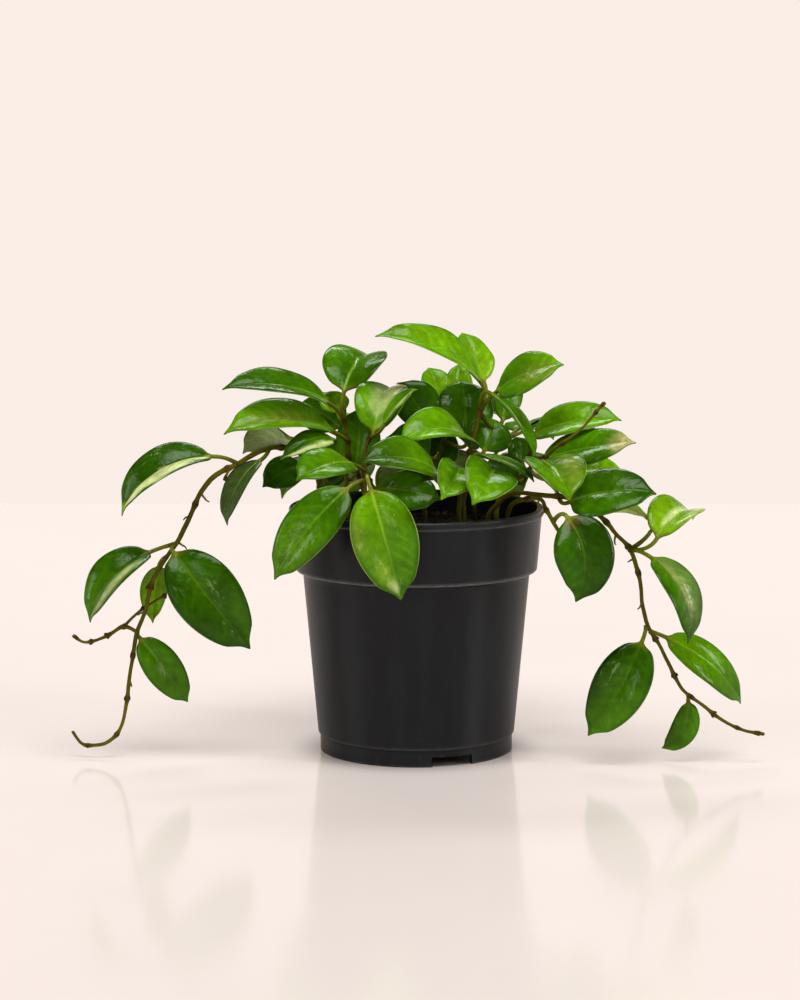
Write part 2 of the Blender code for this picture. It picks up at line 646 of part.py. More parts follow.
def joined(name, meshes):
    """One body from several closed meshes that overlap, by a union that is applied."""
    group = new_collection(f"{name}_joining")
    objects = [bpy.data.objects.new(f"{name}_{i}", mesh) for i, mesh in enumerate(meshes)]
    first, rest = objects[0], objects[1:]
    bpy.context.scene.collection.objects.link(first)
    for thing in rest:
        group.objects.link(thing)
    union = first.modifiers.new("join", "BOOLEAN")
    union.operation = "UNION"
    union.operand_type = "COLLECTION"
    union.collection = group
    union.solver = "MANIFOLD"
    depsgraph = bpy.context.evaluated_depsgraph_get()
    mesh = bpy.data.meshes.new_from_object(first.evaluated_get(depsgraph))
    for thing in objects:
        bpy.data.objects.remove(thing)
    bpy.data.collections.remove(group)
    keep_largest_shell(mesh)
    return mesh


def keep_largest_shell(mesh):
    """Fills the small hollows that a union seals, by deleting their walls."""
    bm = bmesh.new()
    bm.from_mesh(mesh)
    bmesh.ops.remove_doubles(bm, verts=bm.verts, dist=0.000002)
    bmesh.ops.triangulate(bm, faces=bm.faces)
    unseen = set(bm.verts)
    shells = []
    while unseen:
        front = [unseen.pop()]
        shell = list(front)
        while front:
            near = front.pop()
            for edge in near.link_edges:
                other = edge.other_vert(near)
                if other in unseen:
                    unseen.remove(other)
                    front.append(other)
                    shell.append(other)
        shells.append(shell)
    shells.sort(key=len)
    for shell in shells[:-1]:
        bmesh.ops.delete(bm, geom=shell, context="VERTS")
    bm.to_mesh(mesh)
    bm.free()


def vine(name, plan, parts):
    """One leafy vine, its stems and leaves grown together, placed by the foot of its stem."""
    meshes = [stem_mesh(f"{name}_stem", stem) for stem in plan.stems]
    meshes += [leaf_mesh(f"{name}_leaf", leaf) for leaf in plan.leaves]
    mesh = joined(name, meshes)
    foot = Vector(plan.stems[0].points[0]) * MM
    mesh.transform(Matrix.Translation(-foot))
    mesh.name = name
    mesh.materials.clear()
    mesh.materials.append(plain_material(f"{name}_green", plan.colour, 0.35))
    mesh.shade_smooth()
    mesh.set_sharp_from_angle(angle=math.radians(50))
    piece = bpy.data.objects.new(name, mesh)
    piece.location = foot
    parts.objects.link(piece)
    return piece


def main():
    clear_scene()
    parts = new_collection("potted_wax_plant")
    pieces = [
        pot(parts, new_collection("pot_cutters")),
        potting_mix(parts, new_collection("soil_cutters")),
    ]
    pieces += [vine(name, plan, parts) for name, plan in VINES.items()]
    origin = bpy.data.objects.new("plant_origin", None)
    parts.objects.link(origin)
    for piece in pieces:
        piece.parent = origin


main()
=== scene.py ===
"""The looks of a wax plant in its black nursery pot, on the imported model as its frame.

Metres, +Z up, the viewer looks along +Y. The vines' points are whole millimetres.
"""
import json
import math
import random
from typing import NamedTuple

import bmesh
import bpy
import numpy as np
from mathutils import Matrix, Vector, noise

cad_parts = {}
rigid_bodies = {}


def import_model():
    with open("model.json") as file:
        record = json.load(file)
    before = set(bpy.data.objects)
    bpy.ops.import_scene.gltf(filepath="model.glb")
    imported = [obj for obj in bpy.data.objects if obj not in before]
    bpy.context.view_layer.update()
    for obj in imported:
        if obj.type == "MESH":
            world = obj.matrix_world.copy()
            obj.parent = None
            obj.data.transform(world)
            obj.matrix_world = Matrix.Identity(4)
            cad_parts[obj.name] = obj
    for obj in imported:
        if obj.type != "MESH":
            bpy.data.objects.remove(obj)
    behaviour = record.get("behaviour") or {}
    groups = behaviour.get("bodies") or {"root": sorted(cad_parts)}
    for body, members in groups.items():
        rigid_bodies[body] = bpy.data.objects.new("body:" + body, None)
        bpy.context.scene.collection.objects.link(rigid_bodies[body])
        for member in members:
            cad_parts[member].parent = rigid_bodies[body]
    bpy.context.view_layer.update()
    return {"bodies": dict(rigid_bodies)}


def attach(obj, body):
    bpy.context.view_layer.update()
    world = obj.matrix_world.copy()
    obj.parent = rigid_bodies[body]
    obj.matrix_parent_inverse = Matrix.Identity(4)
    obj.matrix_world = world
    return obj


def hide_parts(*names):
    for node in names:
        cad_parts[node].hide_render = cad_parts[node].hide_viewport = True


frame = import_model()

MM = 0.001


def srgb(red, green, blue):
    """Linear colour from the eight-bit values a picture shows."""
    def linear(value):
        value /= 255
        return value / 12.92 if value <= 0.04045 else ((value + 0.055) / 1.055) ** 2.4
    return (linear(red), linear(green), linear(blue))


# Leaf colours
LIME = srgb(144, 188, 26)
BRIGHT = srgb(114, 166, 10)
MID = srgb(84, 134, 6)
DEEP = srgb(58, 99, 4)
DARK = srgb(44, 76, 5)
GREY_GREEN = srgb(84, 104, 56)
OLIVE = srgb(138, 148, 62)
YELLOW_GREEN = srgb(186, 208, 74)
CREAM = srgb(238, 248, 178)
BEIGE = srgb(204, 186, 132)
UNDER = srgb(128, 164, 60)
UNDER_PALE = srgb(150, 168, 112)
BROWN = srgb(112, 66, 34)
PETIOLE_GREEN = srgb(130, 138, 30)

# Stem colours
STEM_OLD = srgb(86, 84, 10)
STEM_YOUNG = srgb(118, 112, 20)
NODE_BROWN = srgb(84, 62, 18)


VINES = []
ROOTED = (94, 109, 114)             # heights at which a stem stands upright, from its foot


class Patch(NamedTuple):
    """A blot of colour: its middle and half sizes along (s) and across (q), which is
    positive on the side of face x (tip - base).
    """
    s: float
    q: float
    long: float
    wide: float
    colour: tuple
    strength: float = 0.8
    soft: float = 0.25


class Mark(NamedTuple):
    """A place on the blade where dried water has left pale, glossy marks."""
    s: float
    q: float
    long: float
    wide: float


class Paint(NamedTuple):
    """A blade's colours: foot and end are the two ends of its upper side, and a painted half
    shade, as light falls across the fold, makes the positive half lighter, or darker if negative.
    """
    foot: tuple = MID
    end: tuple = DEEP
    under: tuple = UNDER
    tilt: float = 0.0
    rib: float = 0.45
    # strength of the thin pale line along the rim, a painted highlight
    margin: float = 0.15
    specks: float = 0.15
    patches: tuple = ()
    marks: tuple = ()


class Stem(NamedTuple):
    """Radii at its two ends, its points, and the shares of its length that have a node."""
    start: float
    end: float
    points: list
    nodes: tuple


class Leaf(NamedTuple):
    """at is on the stem, base is where the blade begins, and face points out of its upper
    side. arch lifts its middle, bow moves it sideways and curl drops its tip, as shares of
    its length, and fold lifts its halves, as a share of their width.
    """
    at: tuple
    base: tuple
    tip: tuple
    width: float
    face: tuple
    arch: float
    fold: float
    bow: float
    curl: float
    paint: Paint


class Vine:
    """A rooted main stem with its side stems, leaves and short aerial roots."""

    def __init__(self, name, x, y):
        self.name = name
        self.foot = [(x, y, z) for z in ROOTED]
        self.stems, self.leaves, self.roots = [], [], []
        VINES.append(self)

    def main(self, start, end, points, nodes=()):
        self.stems.append(Stem(start, end, self.foot + points, nodes))

    def side(self, start, end, points, nodes):
        self.stems.append(Stem(start, end, points, nodes))

    def leaf(self, at, base, tip, width, face, arch, fold, bow=0.0, curl=0.0, **paint):
        self.leaves.append(Leaf(at, base, tip, width, face, arch, fold, bow, curl, Paint(**paint)))

    def root(self, place, direction, length):
        self.roots.append((place, direction, length))


# Paints that several leaves share
BRIGHT_LEAF = dict(foot=BRIGHT, end=MID)
FRESH = dict(foot=LIME, end=BRIGHT, under=YELLOW_GREEN)
DEEP_LEAF = dict(foot=MID, end=DEEP, rib=0.35)
SHADED = dict(foot=MID, end=MID, rib=0.3, margin=0.3)
BACK_LEAF = dict(foot=MID, end=DEEP, rib=0.5)

# The vines, each with its stems, leaves and aerial roots
vine = Vine("vine_left_trail", -38, -8)
vine.main(1.9, 1.0, [(-44, -10, 132), (-54, -7, 142), (-65, -12, 145), (-74, -16, 143), (-83, -20, 138),
    (-93, -21, 133), (-100, -22, 125), (-105, -22, 114), (-111, -23, 102), (-116, -24, 95),
    (-123, -25, 83), (-126, -26, 70), (-130, -26, 60), (-132, -26, 49), (-134, -26, 37), (-135, -26, 28),
    (-138, -26, 15), (-144, -26, 8), (-152, -25, 6), (-157, -24, 7), (-161, -22, 12)],
    (0.16, 0.21, 0.25, 0.36, 0.45, 0.62, 0.75, 0.83, 0.9, 0.96))
vine.side(1.2, 0.8, [(-130, -26, 60), (-136, -28, 63), (-144, -32, 59), (-153, -36, 57), (-158, -40, 61)],
    (0.2, 0.45, 0.7, 0.95))
vine.side(0.9, 0.7, [(-136, -28, 63), (-128, -22, 70), (-117, -16, 76)], (0.5, 0.95))
vine.side(0.9, 0.7, [(-83, -20, 138), (-87, -22, 135), (-89, -24, 131)], (0.9,))
vine.leaf((-83, -20, 138), (-94, -24, 142), (-137, -34, 118), 26, (-0.1, -0.44, 0.89), 0.165, 0.36,
    curl=0.05, foot=DEEP, under=LIME, rib=0.1, margin=0.0,
    patches=(Patch(0.55, 0.49, 0.52, 0.45, CREAM, 1.0, 0.08), Patch(0.97, 0.0, 0.06, 1.0, LIME)),
    marks=(Mark(0.4, -0.6, 0.3, 0.3),))
vine.leaf((-69, -14, 144), (-72, -20, 140), (-88, -30, 111), 17, (-0.7, -0.62, 0.35), 0.13, 0.25,
    foot=GREY_GREEN, end=GREY_GREEN, rib=0.7)
vine.leaf((-112, -23, 101), (-123, -27, 98), (-151, -38, 67), 25, (-0.35, -0.55, 0.75), 0.155, 0.35,
    foot=DEEP, end=MID, rib=0.1, margin=0.0, patches=(Patch(0.62, 0.5, 0.4, 0.38, UNDER_PALE, 0.9, 0.5),
    Patch(0.55, 0.58, 0.34, 0.22, CREAM, 0.5, 0.6)))
vine.leaf((-112, -23, 101), (-113, -26, 98), (-77, -31, 53), 32, (0.15, -0.95, 0.25), 0.08, 0.15,
    bow=-0.02, foot=DEEP, rib=0.3, patches=(Patch(0.3, 0.0, 0.34, 0.35, MID, 0.5, 0.8),
    Patch(0.75, 0.7, 0.25, 0.35, MID, 0.6, 0.7)), marks=(Mark(0.4, 0.25, 0.22, 0.35),
    Mark(0.25, -0.55, 0.16, 0.25)))
# its underside, which faces the viewer, is painted lime as a painted sheen
vine.leaf((-116, -24, 95), (-120, -19, 90), (-124, -12, 62), 14, (-0.3, 0.85, 0.2), 0.08, 0.2, under=LIME)
vine.leaf((-130, -26, 60), (-129, -24, 57), (-107, -18, 25), 18, (0.1, -0.95, 0.3), 0.08, 0.15, end=MID,
    rib=0.35, marks=(Mark(0.55, 0.0, 0.25, 0.5),))
vine.root((-100, -22, 125), (1, -1, -2), 7)
vine.root((-105, -22, 114), (-2, -1, -1), 4)
vine.root((-111, -23, 102), (3, -1, -2), 6)
vine.root((-134, -26, 37), (2, -1, -1), 4)
vine.root((-126, -26, 70), (-2, -1, -1), 5)

vine = Vine("vine_right_trail", 34, -14)
vine.main(1.6, 0.95, [(44, -20, 124), (59, -25, 124), (70, -27, 123), (80, -30, 118), (86, -32, 114),
    (92, -34, 107), (97, -35, 102), (100, -36, 96), (103, -36, 85), (104, -36, 75), (107, -36, 64),
    (112, -36, 56), (117, -36, 46), (123, -36, 35), (132, -37, 28), (141, -37, 21), (151, -37, 16),
    (161, -37, 14)], (0.27, 0.39, 0.46, 0.52, 0.67, 0.76, 0.82, 0.88, 0.94, 0.985))
vine.leaf((66, -26, 123), (70, -34, 122), (109, -46, 128), 29, (0, -0.7, 0.71), 0.1, 0.1, tilt=-0.2,
    rib=0.6, margin=0.2, patches=(Patch(1.0, 0.0, 0.05, 1.0, BROWN),))
vine.leaf((98, -35, 100), (110, -40, 106), (130, -6, 111), 24, (-0.2, -0.7, 0.66), 0.18, 0.5, rib=0.8,
    patches=(Patch(0.55, 0.1, 0.4, 0.14, CREAM, 0.9), Patch(0.6, -0.8, 0.35, 0.3, CREAM, 0.6)), **FRESH)
vine.leaf((98, -35, 100), (107, -44, 98), (124, -54, 60), 24, (0.7, -0.66, 0.3), 0.16, 0.15, bow=0.04,
    rib=0.1, patches=(Patch(0.45, 0.45, 0.45, 0.42, UNDER_PALE, 0.4, 0.6),
    Patch(0.4, 0.08, 0.36, 0.14, BEIGE, 0.35, 0.7)))
vine.leaf((108, -36, 62), (115, -33, 59), (152, -25, 26), 21, (0.35, -0.75, 0.6), 0.12, 0.1, rib=0.6,
    **BRIGHT_LEAF)
vine.leaf((106, -36, 65), (104, -38, 58), (79, -41, 14), 26.5, (-0.15, -0.95, 0.2), 0.08, 0.12, bow=0.04,
    foot=DEEP, end=MID, rib=0.12, tilt=0.4, marks=(Mark(0.35, -0.45, 0.22, 0.35),))
vine.leaf((126, -36, 32), (126, -34, 29), (114, -32, 6), 13, (0.1, -0.9, 0.25), 0.1, 0.3, bow=0.16,
    end=MID, rib=0.1, tilt=0.35)
vine.leaf((98, -35, 100), (107, -33, 114), (85, -16, 115), 20, (0.1, 0.55, 0.8), 0.15, 0.1,
    foot=YELLOW_GREEN, end=LIME, under=YELLOW_GREEN, patches=(Patch(0.5, 0.3, 0.09, 0.2, BROWN, 0.5),))
vine.root((92, -34, 107), (-1, -1, -3), 6)
vine.root((100, -36, 96), (-3, -1, -2), 5)
vine.root((80, -30, 118), (0, -1, -3), 4)
vine.root((104, -36, 75), (-3, -1, -1), 4)
vine.root((70, -27, 123), (1, -1, -4), 6)

vine = Vine("vine_right_short", 42, -25)
vine.main(1.6, 1.1, [(45, -28, 121), (56, -36, 124), (59, -44, 120), (62, -49, 115), (65, -50, 110)],
    (0.55, 0.8))
# the dark blot near the foot, on the right half, is a painted shadow
vine.leaf((62, -48, 115), (68, -52, 118), (72, -60, 80), 29, (0.15, -0.95, 0.3), 0.12, 0.1, bow=0.13,
    foot=DEEP, rib=0.3, tilt=-0.3, patches=(Patch(0.22, 0.45, 0.22, 0.45, DARK, 0.6, 0.5),
    Patch(0.05, 0.0, 0.1, 0.6, BROWN, 0.5)))
vine.root((59, -44, 120), (-1, -1, -3), 5)
vine.root((56, -36, 124), (1, -2, -3), 6)

vine = Vine("vine_tall", 20, -2)
vine.main(1.9, 1.2, [(22, -1, 128), (25, 1, 140), (28, 3, 151), (30, 5, 161)], (0.45, 0.7, 0.97))
# the lime blot along the upper edge is a painted sheen
vine.leaf((30, 5, 160), (30, 4, 174), (-19, -8, 197), 25, (0.15, -0.45, 0.88), 0.13, 0.35, foot=BRIGHT,
    end=BRIGHT, tilt=0.2, rib=0.5, margin=0.8, patches=(Patch(0.65, -0.5, 0.4, 0.5, LIME, 0.3, 0.6),))
vine.leaf((30, 5, 160), (32, 12, 173), (22, 24, 196), 20, (0.62, -0.72, 0.2), 0.05, 0.3, bow=0.04,
    **FRESH)
vine.leaf((30, 5, 160), (38, 0, 170), (68, -12, 184), 27, (-0.15, -0.62, 0.75), 0.08, 0.12, end=BRIGHT,
    rib=0.4, patches=(Patch(0.72, -0.25, 0.34, 0.55, OLIVE, 0.5, 0.5),))
vine.leaf((30, 5, 160), (35, -2, 169), (55, -16, 140), 20, (0.86, -0.3, 0.45), 0.08, 0.25, rib=0.7,
    **BRIGHT_LEAF)
vine.leaf((30, 5, 159), (41, 18, 154), (47, 34, 176), 14, (0.1, -0.9, 0.3), 0.06, 0.2, **SHADED)
vine.leaf((25, 1, 141), (26, -2, 143), (-9, -26, 148), 28, (0, -0.5, 0.86), 0.22, 0.35, foot=BRIGHT,
    end=BRIGHT, rib=0.6, patches=(Patch(0.2, 0.3, 0.2, 0.45, CREAM, 0.6, 0.4),))
vine.leaf((26, 2, 143), (32, 6, 141), (38, 16, 155), 22, (0.1, -0.9, 0.3), 0.05, 0.2, **SHADED)

vine = Vine("vine_centre", 4, 12)
vine.main(1.7, 1.1, [(6, 14, 128), (11, 18, 138), (14, 22, 148), (13, 26, 158)], (0.5, 0.75, 0.97))
vine.leaf((13, 21, 144), (24, 16, 145), (22, 36, 172), 28, (0.05, -0.85, 0.5), 0.1, 0.1, **DEEP_LEAF)
vine.leaf((13, 26, 157), (20, 41, 160), (21, 47, 179), 14, (0.1, -0.9, 0.3), 0.05, 0.2, **FRESH)
vine.leaf((13, 26, 157), (12, 28, 161), (6, 36, 178), 17, (0.35, -0.85, 0.3), 0.05, 0.3, **FRESH)
vine.leaf((11, 18, 138), (6, 14, 137), (-14, 10, 147), 28, (0, -0.9, 0.4), 0.08, 0.1, **SHADED)
vine.leaf((14, 22, 149), (6, 18, 152), (-9, 22, 172), 24, (0.2, -0.85, 0.5), 0.1, 0.2)
vine.leaf((6, 14, 128), (9, 23, 129), (11, 30, 152), 22, (0.0, -0.93, 0.35), 0.06, 0.15, **DEEP_LEAF)

vine = Vine("vine_left_centre", -24, -16)
vine.main(1.7, 1.1, [(-24, -15, 124), (-24, -14, 134), (-24, -12, 143), (-21, -9, 151)], (0.65, 0.95))
vine.leaf((-21, -9, 150), (-20, -13, 152), (-12, 15, 170), 25, (-0.05, -0.7, 0.7), 0.19, 0.45, rib=0.6,
    margin=0.7, patches=(Patch(0.5, -0.1, 0.32, 0.5, CREAM, 0.55, 0.5),
    Patch(0.78, -0.6, 0.18, 0.4, BEIGE)), **BRIGHT_LEAF)
vine.leaf((-21, -9, 150), (-15, -16, 156), (0, -16, 173), 15, (-0.55, -0.25, 0.8), 0.06, 0.2,
    patches=(Patch(0.5, -0.5, 0.4, 0.4, CREAM, 0.5),), **BRIGHT_LEAF)
vine.leaf((-24, -14, 134), (-30, -20, 138), (-55, -46, 134), 24, (0, -0.6, 0.8), 0.1, 0.2, rib=0.9,
    margin=0.8, **BRIGHT_LEAF)

vine = Vine("vine_left_upper", -32, 4)
vine.main(1.7, 1.1, [(-33, 4, 126), (-32, 5, 142), (-33, 5, 150), (-34, 5, 157)], (0.7, 0.82, 0.97))
vine.leaf((-34, 5, 156), (-34, 5, 169), (-22, 38, 183), 31, (-0.15, -0.7, 0.7), 0.17, 0.35, end=MID,
    tilt=0.2, rib=1.0, margin=0.6, patches=(Patch(1.0, 0.0, 0.05, 1.0, DARK, 0.9),))
vine.leaf((-34, 5, 155), (-41, 2, 164), (-90, -16, 173), 25, (0.05, -0.42, 0.9), 0.1, 0.3, rib=0.8,
    margin=0.6)
vine.leaf((-32, 5, 146), (-39, 0, 151), (-89, -24, 153), 28, (0.05, -0.45, 0.9), 0.13, 0.3, foot=BRIGHT,
    end=BRIGHT, rib=0.4, margin=0.5, patches=(Patch(0.5, 0.15, 0.34, 0.45, OLIVE, 0.7, 0.5),))
vine.leaf((-32, 5, 139), (-35, 12, 135), (-54, 22, 137), 22, (0, -0.9, 0.3), 0.08, 0.1, **SHADED)
vine.leaf((-34, 5, 156), (-37, 12, 158), (-42, 20, 168), 15, (0.3, -0.85, 0.4), 0.05, 0.2, **FRESH)
vine.leaf((-33, 5, 149), (-36, 14, 151), (-55, 30, 162), 24, (0.1, -0.85, 0.5), 0.08, 0.2)
vine.leaf((-33, 4, 128), (-29, 12, 131), (-26, 19, 161), 22, (0.05, -0.93, 0.35), 0.06, 0.15,
    **BRIGHT_LEAF)

vine = Vine("vine_left_low", -45, 8)
vine.main(1.5, 1.0, [(-46, 7, 124), (-49, 6, 136), (-51, 7, 142), (-52, 8, 146)], (0.8, 0.97))
vine.leaf((-51, 7, 143), (-39, -8, 148), (-63, -26, 141), 13, (0, -0.75, 0.66), 0.2, 0.0, margin=0.9,
    patches=(Patch(0.5, 0.85, 0.5, 0.35, CREAM),))
vine.leaf((-49, 6, 137), (-54, 2, 135), (-72, -8, 126), 18, (-0.1, -0.85, 0.5), 0.08, 0.15)
vine.leaf((-52, 8, 145), (-60, 16, 146), (-83, 26, 138), 23, (0, 0.7, 0.7), 0.16, 0.1, under=UNDER_PALE)
vine.leaf((-46, 7, 124), (-45, 15, 123), (-33, 22, 143), 19, (-0.1, -0.93, 0.35), 0.06, 0.15, **SHADED)

vine = Vine("vine_front", -14, -34)
vine.main(1.6, 1.1, [(-16, -36, 122), (-21, -42, 132), (-22, -45, 135)], (0.6, 0.95))
vine.leaf((-22, -44, 134), (-21, -61, 132), (-7, -68, 82), 31, (0.05, -0.97, 0.2), 0.07, 0.12, tilt=-0.18,
    rib=1.0, margin=1.0, specks=0.3, patches=(Patch(0.34, -0.78, 0.17, 0.2, OLIVE, 0.55, 0.8),
    Patch(0.72, -0.42, 0.09, 0.24, YELLOW_GREEN, 0.4, 0.8),
    Patch(0.88, -0.2, 0.06, 0.26, CREAM, 0.6, 0.6), Patch(0.55, 0.55, 0.3, 0.3, MID, 0.5, 0.8)),
    marks=(Mark(0.45, -0.72, 0.26, 0.3), Mark(0.72, -0.45, 0.22, 0.34), Mark(0.88, 0.0, 0.1, 0.5),
    Mark(0.35, 0.55, 0.18, 0.2)), **BRIGHT_LEAF)
# the bright blot on the lower half is a painted sheen
vine.leaf((-21, -43, 133), (-31, -52, 131), (-65, -58, 90), 26, (-0.35, -0.85, 0.35), 0.1, 0.12, end=MID,
    rib=0.4, margin=0.5, patches=(Patch(0.3, 0.1, 0.28, 0.8, DEEP, 0.5, 0.7),
    Patch(0.75, 0.1, 0.35, 0.8, BRIGHT, 0.4, 0.6), Patch(0.8, -0.15, 0.07, 0.22, DEEP, 0.5, 0.5)),
    marks=(Mark(0.62, 0.0, 0.35, 0.6), Mark(0.85, -0.2, 0.14, 0.5)))
vine.leaf((-21, -42, 131), (-17, -42, 129), (11, -51, 126), 21, (0, -0.85, 0.5), 0.1, 0.1, margin=0.8)

vine = Vine("vine_front_right", 22, -32)
vine.main(1.6, 1.1, [(22, -30, 126), (25, -27, 136), (26, -24, 141)], (0.65, 0.93))
vine.leaf((25, -27, 137), (9, -32, 136), (-25, -50, 143), 26, (0, -0.6, 0.8), 0.13, 0.25, foot=BRIGHT,
    rib=0.6, margin=0.6)
vine.leaf((25, -27, 136), (20, -32, 137), (11, -60, 127), 20, (0.4, -0.5, 0.75), 0.14, 0.3, end=BRIGHT,
    rib=0.4, margin=0.9)
vine.leaf((25, -27, 136), (36, -32, 137), (25, -62, 125), 26, (0.3, -0.6, 0.72), 0.14, 0.3, foot=DEEP,
    end=BRIGHT, rib=0.4, margin=0.9)
vine.leaf((26, -24, 141), (28, -24, 143), (54, -40, 133), 20, (0.38, -0.1, 0.92), 0.05, 0.15,
    patches=(Patch(0.5, -0.4, 0.3, 0.4, BEIGE, 0.5),))

vine = Vine("vine_right_upper", 38, 2)
vine.main(1.7, 1.1, [(41, 2, 124), (53, 2, 132), (54, 3, 139), (54, 4, 144)], (0.75, 0.92))
vine.side(1.2, 0.8, [(54, 3, 138), (60, -16, 141), (64, -24, 146), (75, -30, 155), (84, -34, 166),
    (86, -35, 168)], (0.3, 0.55, 0.9, 0.98))
vine.leaf((54, 4, 143), (55, 6, 148), (96, -2, 157), 24, (-0.05, -0.55, 0.83), 0.09, 0.3, foot=BRIGHT,
    end=BRIGHT, rib=0.6, margin=0.7)
vine.leaf((54, 3, 138), (58, -6, 138), (101, -24, 149), 26, (0, -0.62, 0.78), 0.03, 0.12, end=MID,
    tilt=0.3, patches=(Patch(0.92, -0.1, 0.16, 1.0, BEIGE, 0.75, 0.5),))
vine.leaf((54, 3, 135), (58, -22, 139), (69, -54, 126), 28, (0.15, -0.5, 0.85), 0.1, 0.45, end=BRIGHT,
    rib=0.9, margin=1.0, patches=(Patch(0.55, 0.5, 0.35, 0.4, OLIVE, 0.6, 0.5),))
vine.leaf((53, 2, 133), (69, 10, 128), (100, 16, 128), 20, (0, -0.62, 0.78), 0.15, 0.1, **FRESH)
vine.leaf((52, 2, 131), (48, 8, 126), (33, 10, 134), 22, (0, -0.9, 0.4), 0.08, 0.1, **SHADED)
vine.leaf((53, 2, 132), (50, 10, 136), (47, 13, 147), 13, (0.2, -0.85, 0.4), 0.06, 0.3, **SHADED)

vine = Vine("vine_back_left", -24, 28)
vine.main(1.6, 1.1, [(-27, 31, 124), (-32, 35, 136), (-36, 38, 146)], (0.6, 0.95))
vine.leaf((-35, 37, 144), (-42, 40, 147), (-80, 52, 142), 26, (-0.3, 0.35, 0.9), 0.16, 0.2, **BACK_LEAF)
vine.leaf((-35, 38, 145), (-36, 44, 150), (-56, 67, 150), 25, (0, 0.4, 0.9), 0.16, 0.2, **BRIGHT_LEAF)
vine.leaf((-30, 33, 131), (-36, 39, 132), (-66, 58, 112), 27, (-0.5, 0.5, 0.7), 0.18, 0.15, rib=0.3,
    patches=(Patch(0.5, -0.35, 0.42, 0.32, CREAM, 0.9, 0.12),))
vine.leaf((-28, 32, 126), (-29, 38, 130), (-38, 68, 104), 28, (-0.1, 0.7, 0.7), 0.2, 0.15, **DEEP_LEAF)

vine = Vine("vine_back", 4, 36)
vine.main(1.6, 1.1, [(4, 38, 126), (6, 42, 142), (10, 45, 154)], (0.55, 0.8, 0.96))
vine.leaf((10, 45, 153), (15, 49, 158), (44, 66, 150), 24, (0.1, 0.4, 0.9), 0.14, 0.2, **BRIGHT_LEAF)
vine.leaf((9, 44, 151), (4, 50, 154), (-26, 68, 146), 25, (-0.1, 0.4, 0.9), 0.16, 0.2, **BACK_LEAF)
vine.leaf((5, 40, 133), (9, 46, 135), (24, 69, 106), 29, (0.1, 0.7, 0.7), 0.2, 0.15, end=MID, rib=0.8,
    specks=0.4)
vine.leaf((4, 38, 126), (0, 45, 130), (-12, 69, 101), 27, (-0.1, 0.7, 0.7), 0.2, 0.15, rib=0.8,
    **BRIGHT_LEAF)
vine.leaf((10, 45, 153), (14, 44, 160), (26, 46, 170), 16, (0, 0.8, 0.5), 0.05, 0.3, **FRESH)

vine = Vine("vine_back_right", 28, 26)
vine.main(1.6, 1.1, [(30, 28, 124), (38, 33, 136), (46, 38, 145)], (0.6, 0.95))
vine.leaf((45, 37, 144), (53, 40, 147), (90, 56, 138), 26, (0.3, 0.35, 0.9), 0.16, 0.2, **BACK_LEAF)
vine.leaf((44, 37, 143), (48, 44, 146), (68, 69, 140), 26, (0.1, 0.4, 0.9), 0.16, 0.2, **DEEP_LEAF)
vine.leaf((37, 32, 134), (43, 37, 135), (70, 56, 113), 27, (0.5, 0.5, 0.7), 0.18, 0.15, rib=0.7,
    **BRIGHT_LEAF)
vine.leaf((31, 29, 126), (35, 37, 130), (46, 68, 104), 27, (0.2, 0.7, 0.7), 0.2, 0.15, **BACK_LEAF)

# Leaf shape, in millimetres
PETIOLE_RADIUS = 1.0
THICKNESS = 1.3
THINNING = 0.35
CURL_START = 0.65
HOOK_START = 0.88
HOOK_DROP = 1.0
ROUND_FOOT = 0.07                   # share of the blade that grows out of the round petiole
ACROSS = (-1, -0.955, -0.86, -0.68, -0.47, -0.26, -0.09, 0.0)
ACROSS = ACROSS + tuple(-q for q in ACROSS[-2::-1])
ALONG_STEPS = 34
FOOT_POWER = 0.6                    # the smaller, the blunter that end of the outline
TIP_POWER = 0.78
OUTLINE_SCALE = 0.3995
TIP_NARROWING = 0.52
PETIOLE_STEPS = 9
VEIN_STEP = 5.6
CREASE = 0.08
RECURVE = 0.10
RIB_GROOVE = 0.22
RIB_RIDGE = 0.55

# Stems, in millimetres
STEM_SIDES = 14
STEM_STEP = 1.3
ROUTE_STEPS = 12
NODE_SWELL = 0.42
NODE_LENGTH = 1.5

# Soil and pot, in metres; the same sizes as the solids
POT_STEPS = 144
RIM_RADIUS = 60.0 * MM
RIM_BEAD = 1.2 * MM
LIP_STEPS = 12
POT_HEIGHT = 115.8 * MM
COLLAR_TOP = 112.0 * MM
COLLAR_TOP_RADIUS = 59.1 * MM
COLLAR_FOOT = 86.4 * MM
COLLAR_FOOT_RADIUS = 57.0 * MM
BODY_TOP = 84.9 * MM
BODY_TOP_RADIUS = 53.5 * MM
BODY_FOOT = 8.2 * MM
BODY_FOOT_RADIUS = 46.5 * MM
SKIRT_RADIUS = 45.5 * MM
POT_WALL = 1.2 * MM
SKIRT_WALL = 1.6 * MM
FLOOR_UNDER = 5.0 * MM
FLOOR_WALL = 1.6 * MM
DISH_RADIUS = 16.0 * MM
DISH_RIM_RADIUS = 22.0 * MM
DRAIN_RADIUS = 4.0 * MM
DRAIN_RING = 33.0 * MM
DRAIN_FIRST = math.radians(28)
NOTCH_WIDTH = 20.0 * MM
NOTCH_HEIGHT = 4.6 * MM
NOTCH_FIRST = math.radians(-68.4)
SOIL_EDGE = 104.4 * MM
SOIL_CROWN = 106.0 * MM
SOIL_RINGS = 46
SOIL_STEPS = 150
CHIP_COUNT = 420
GAP = 0.3 * MM
LOOP_REACH = 1.0 * MM               # from the end of a straight to its extra point

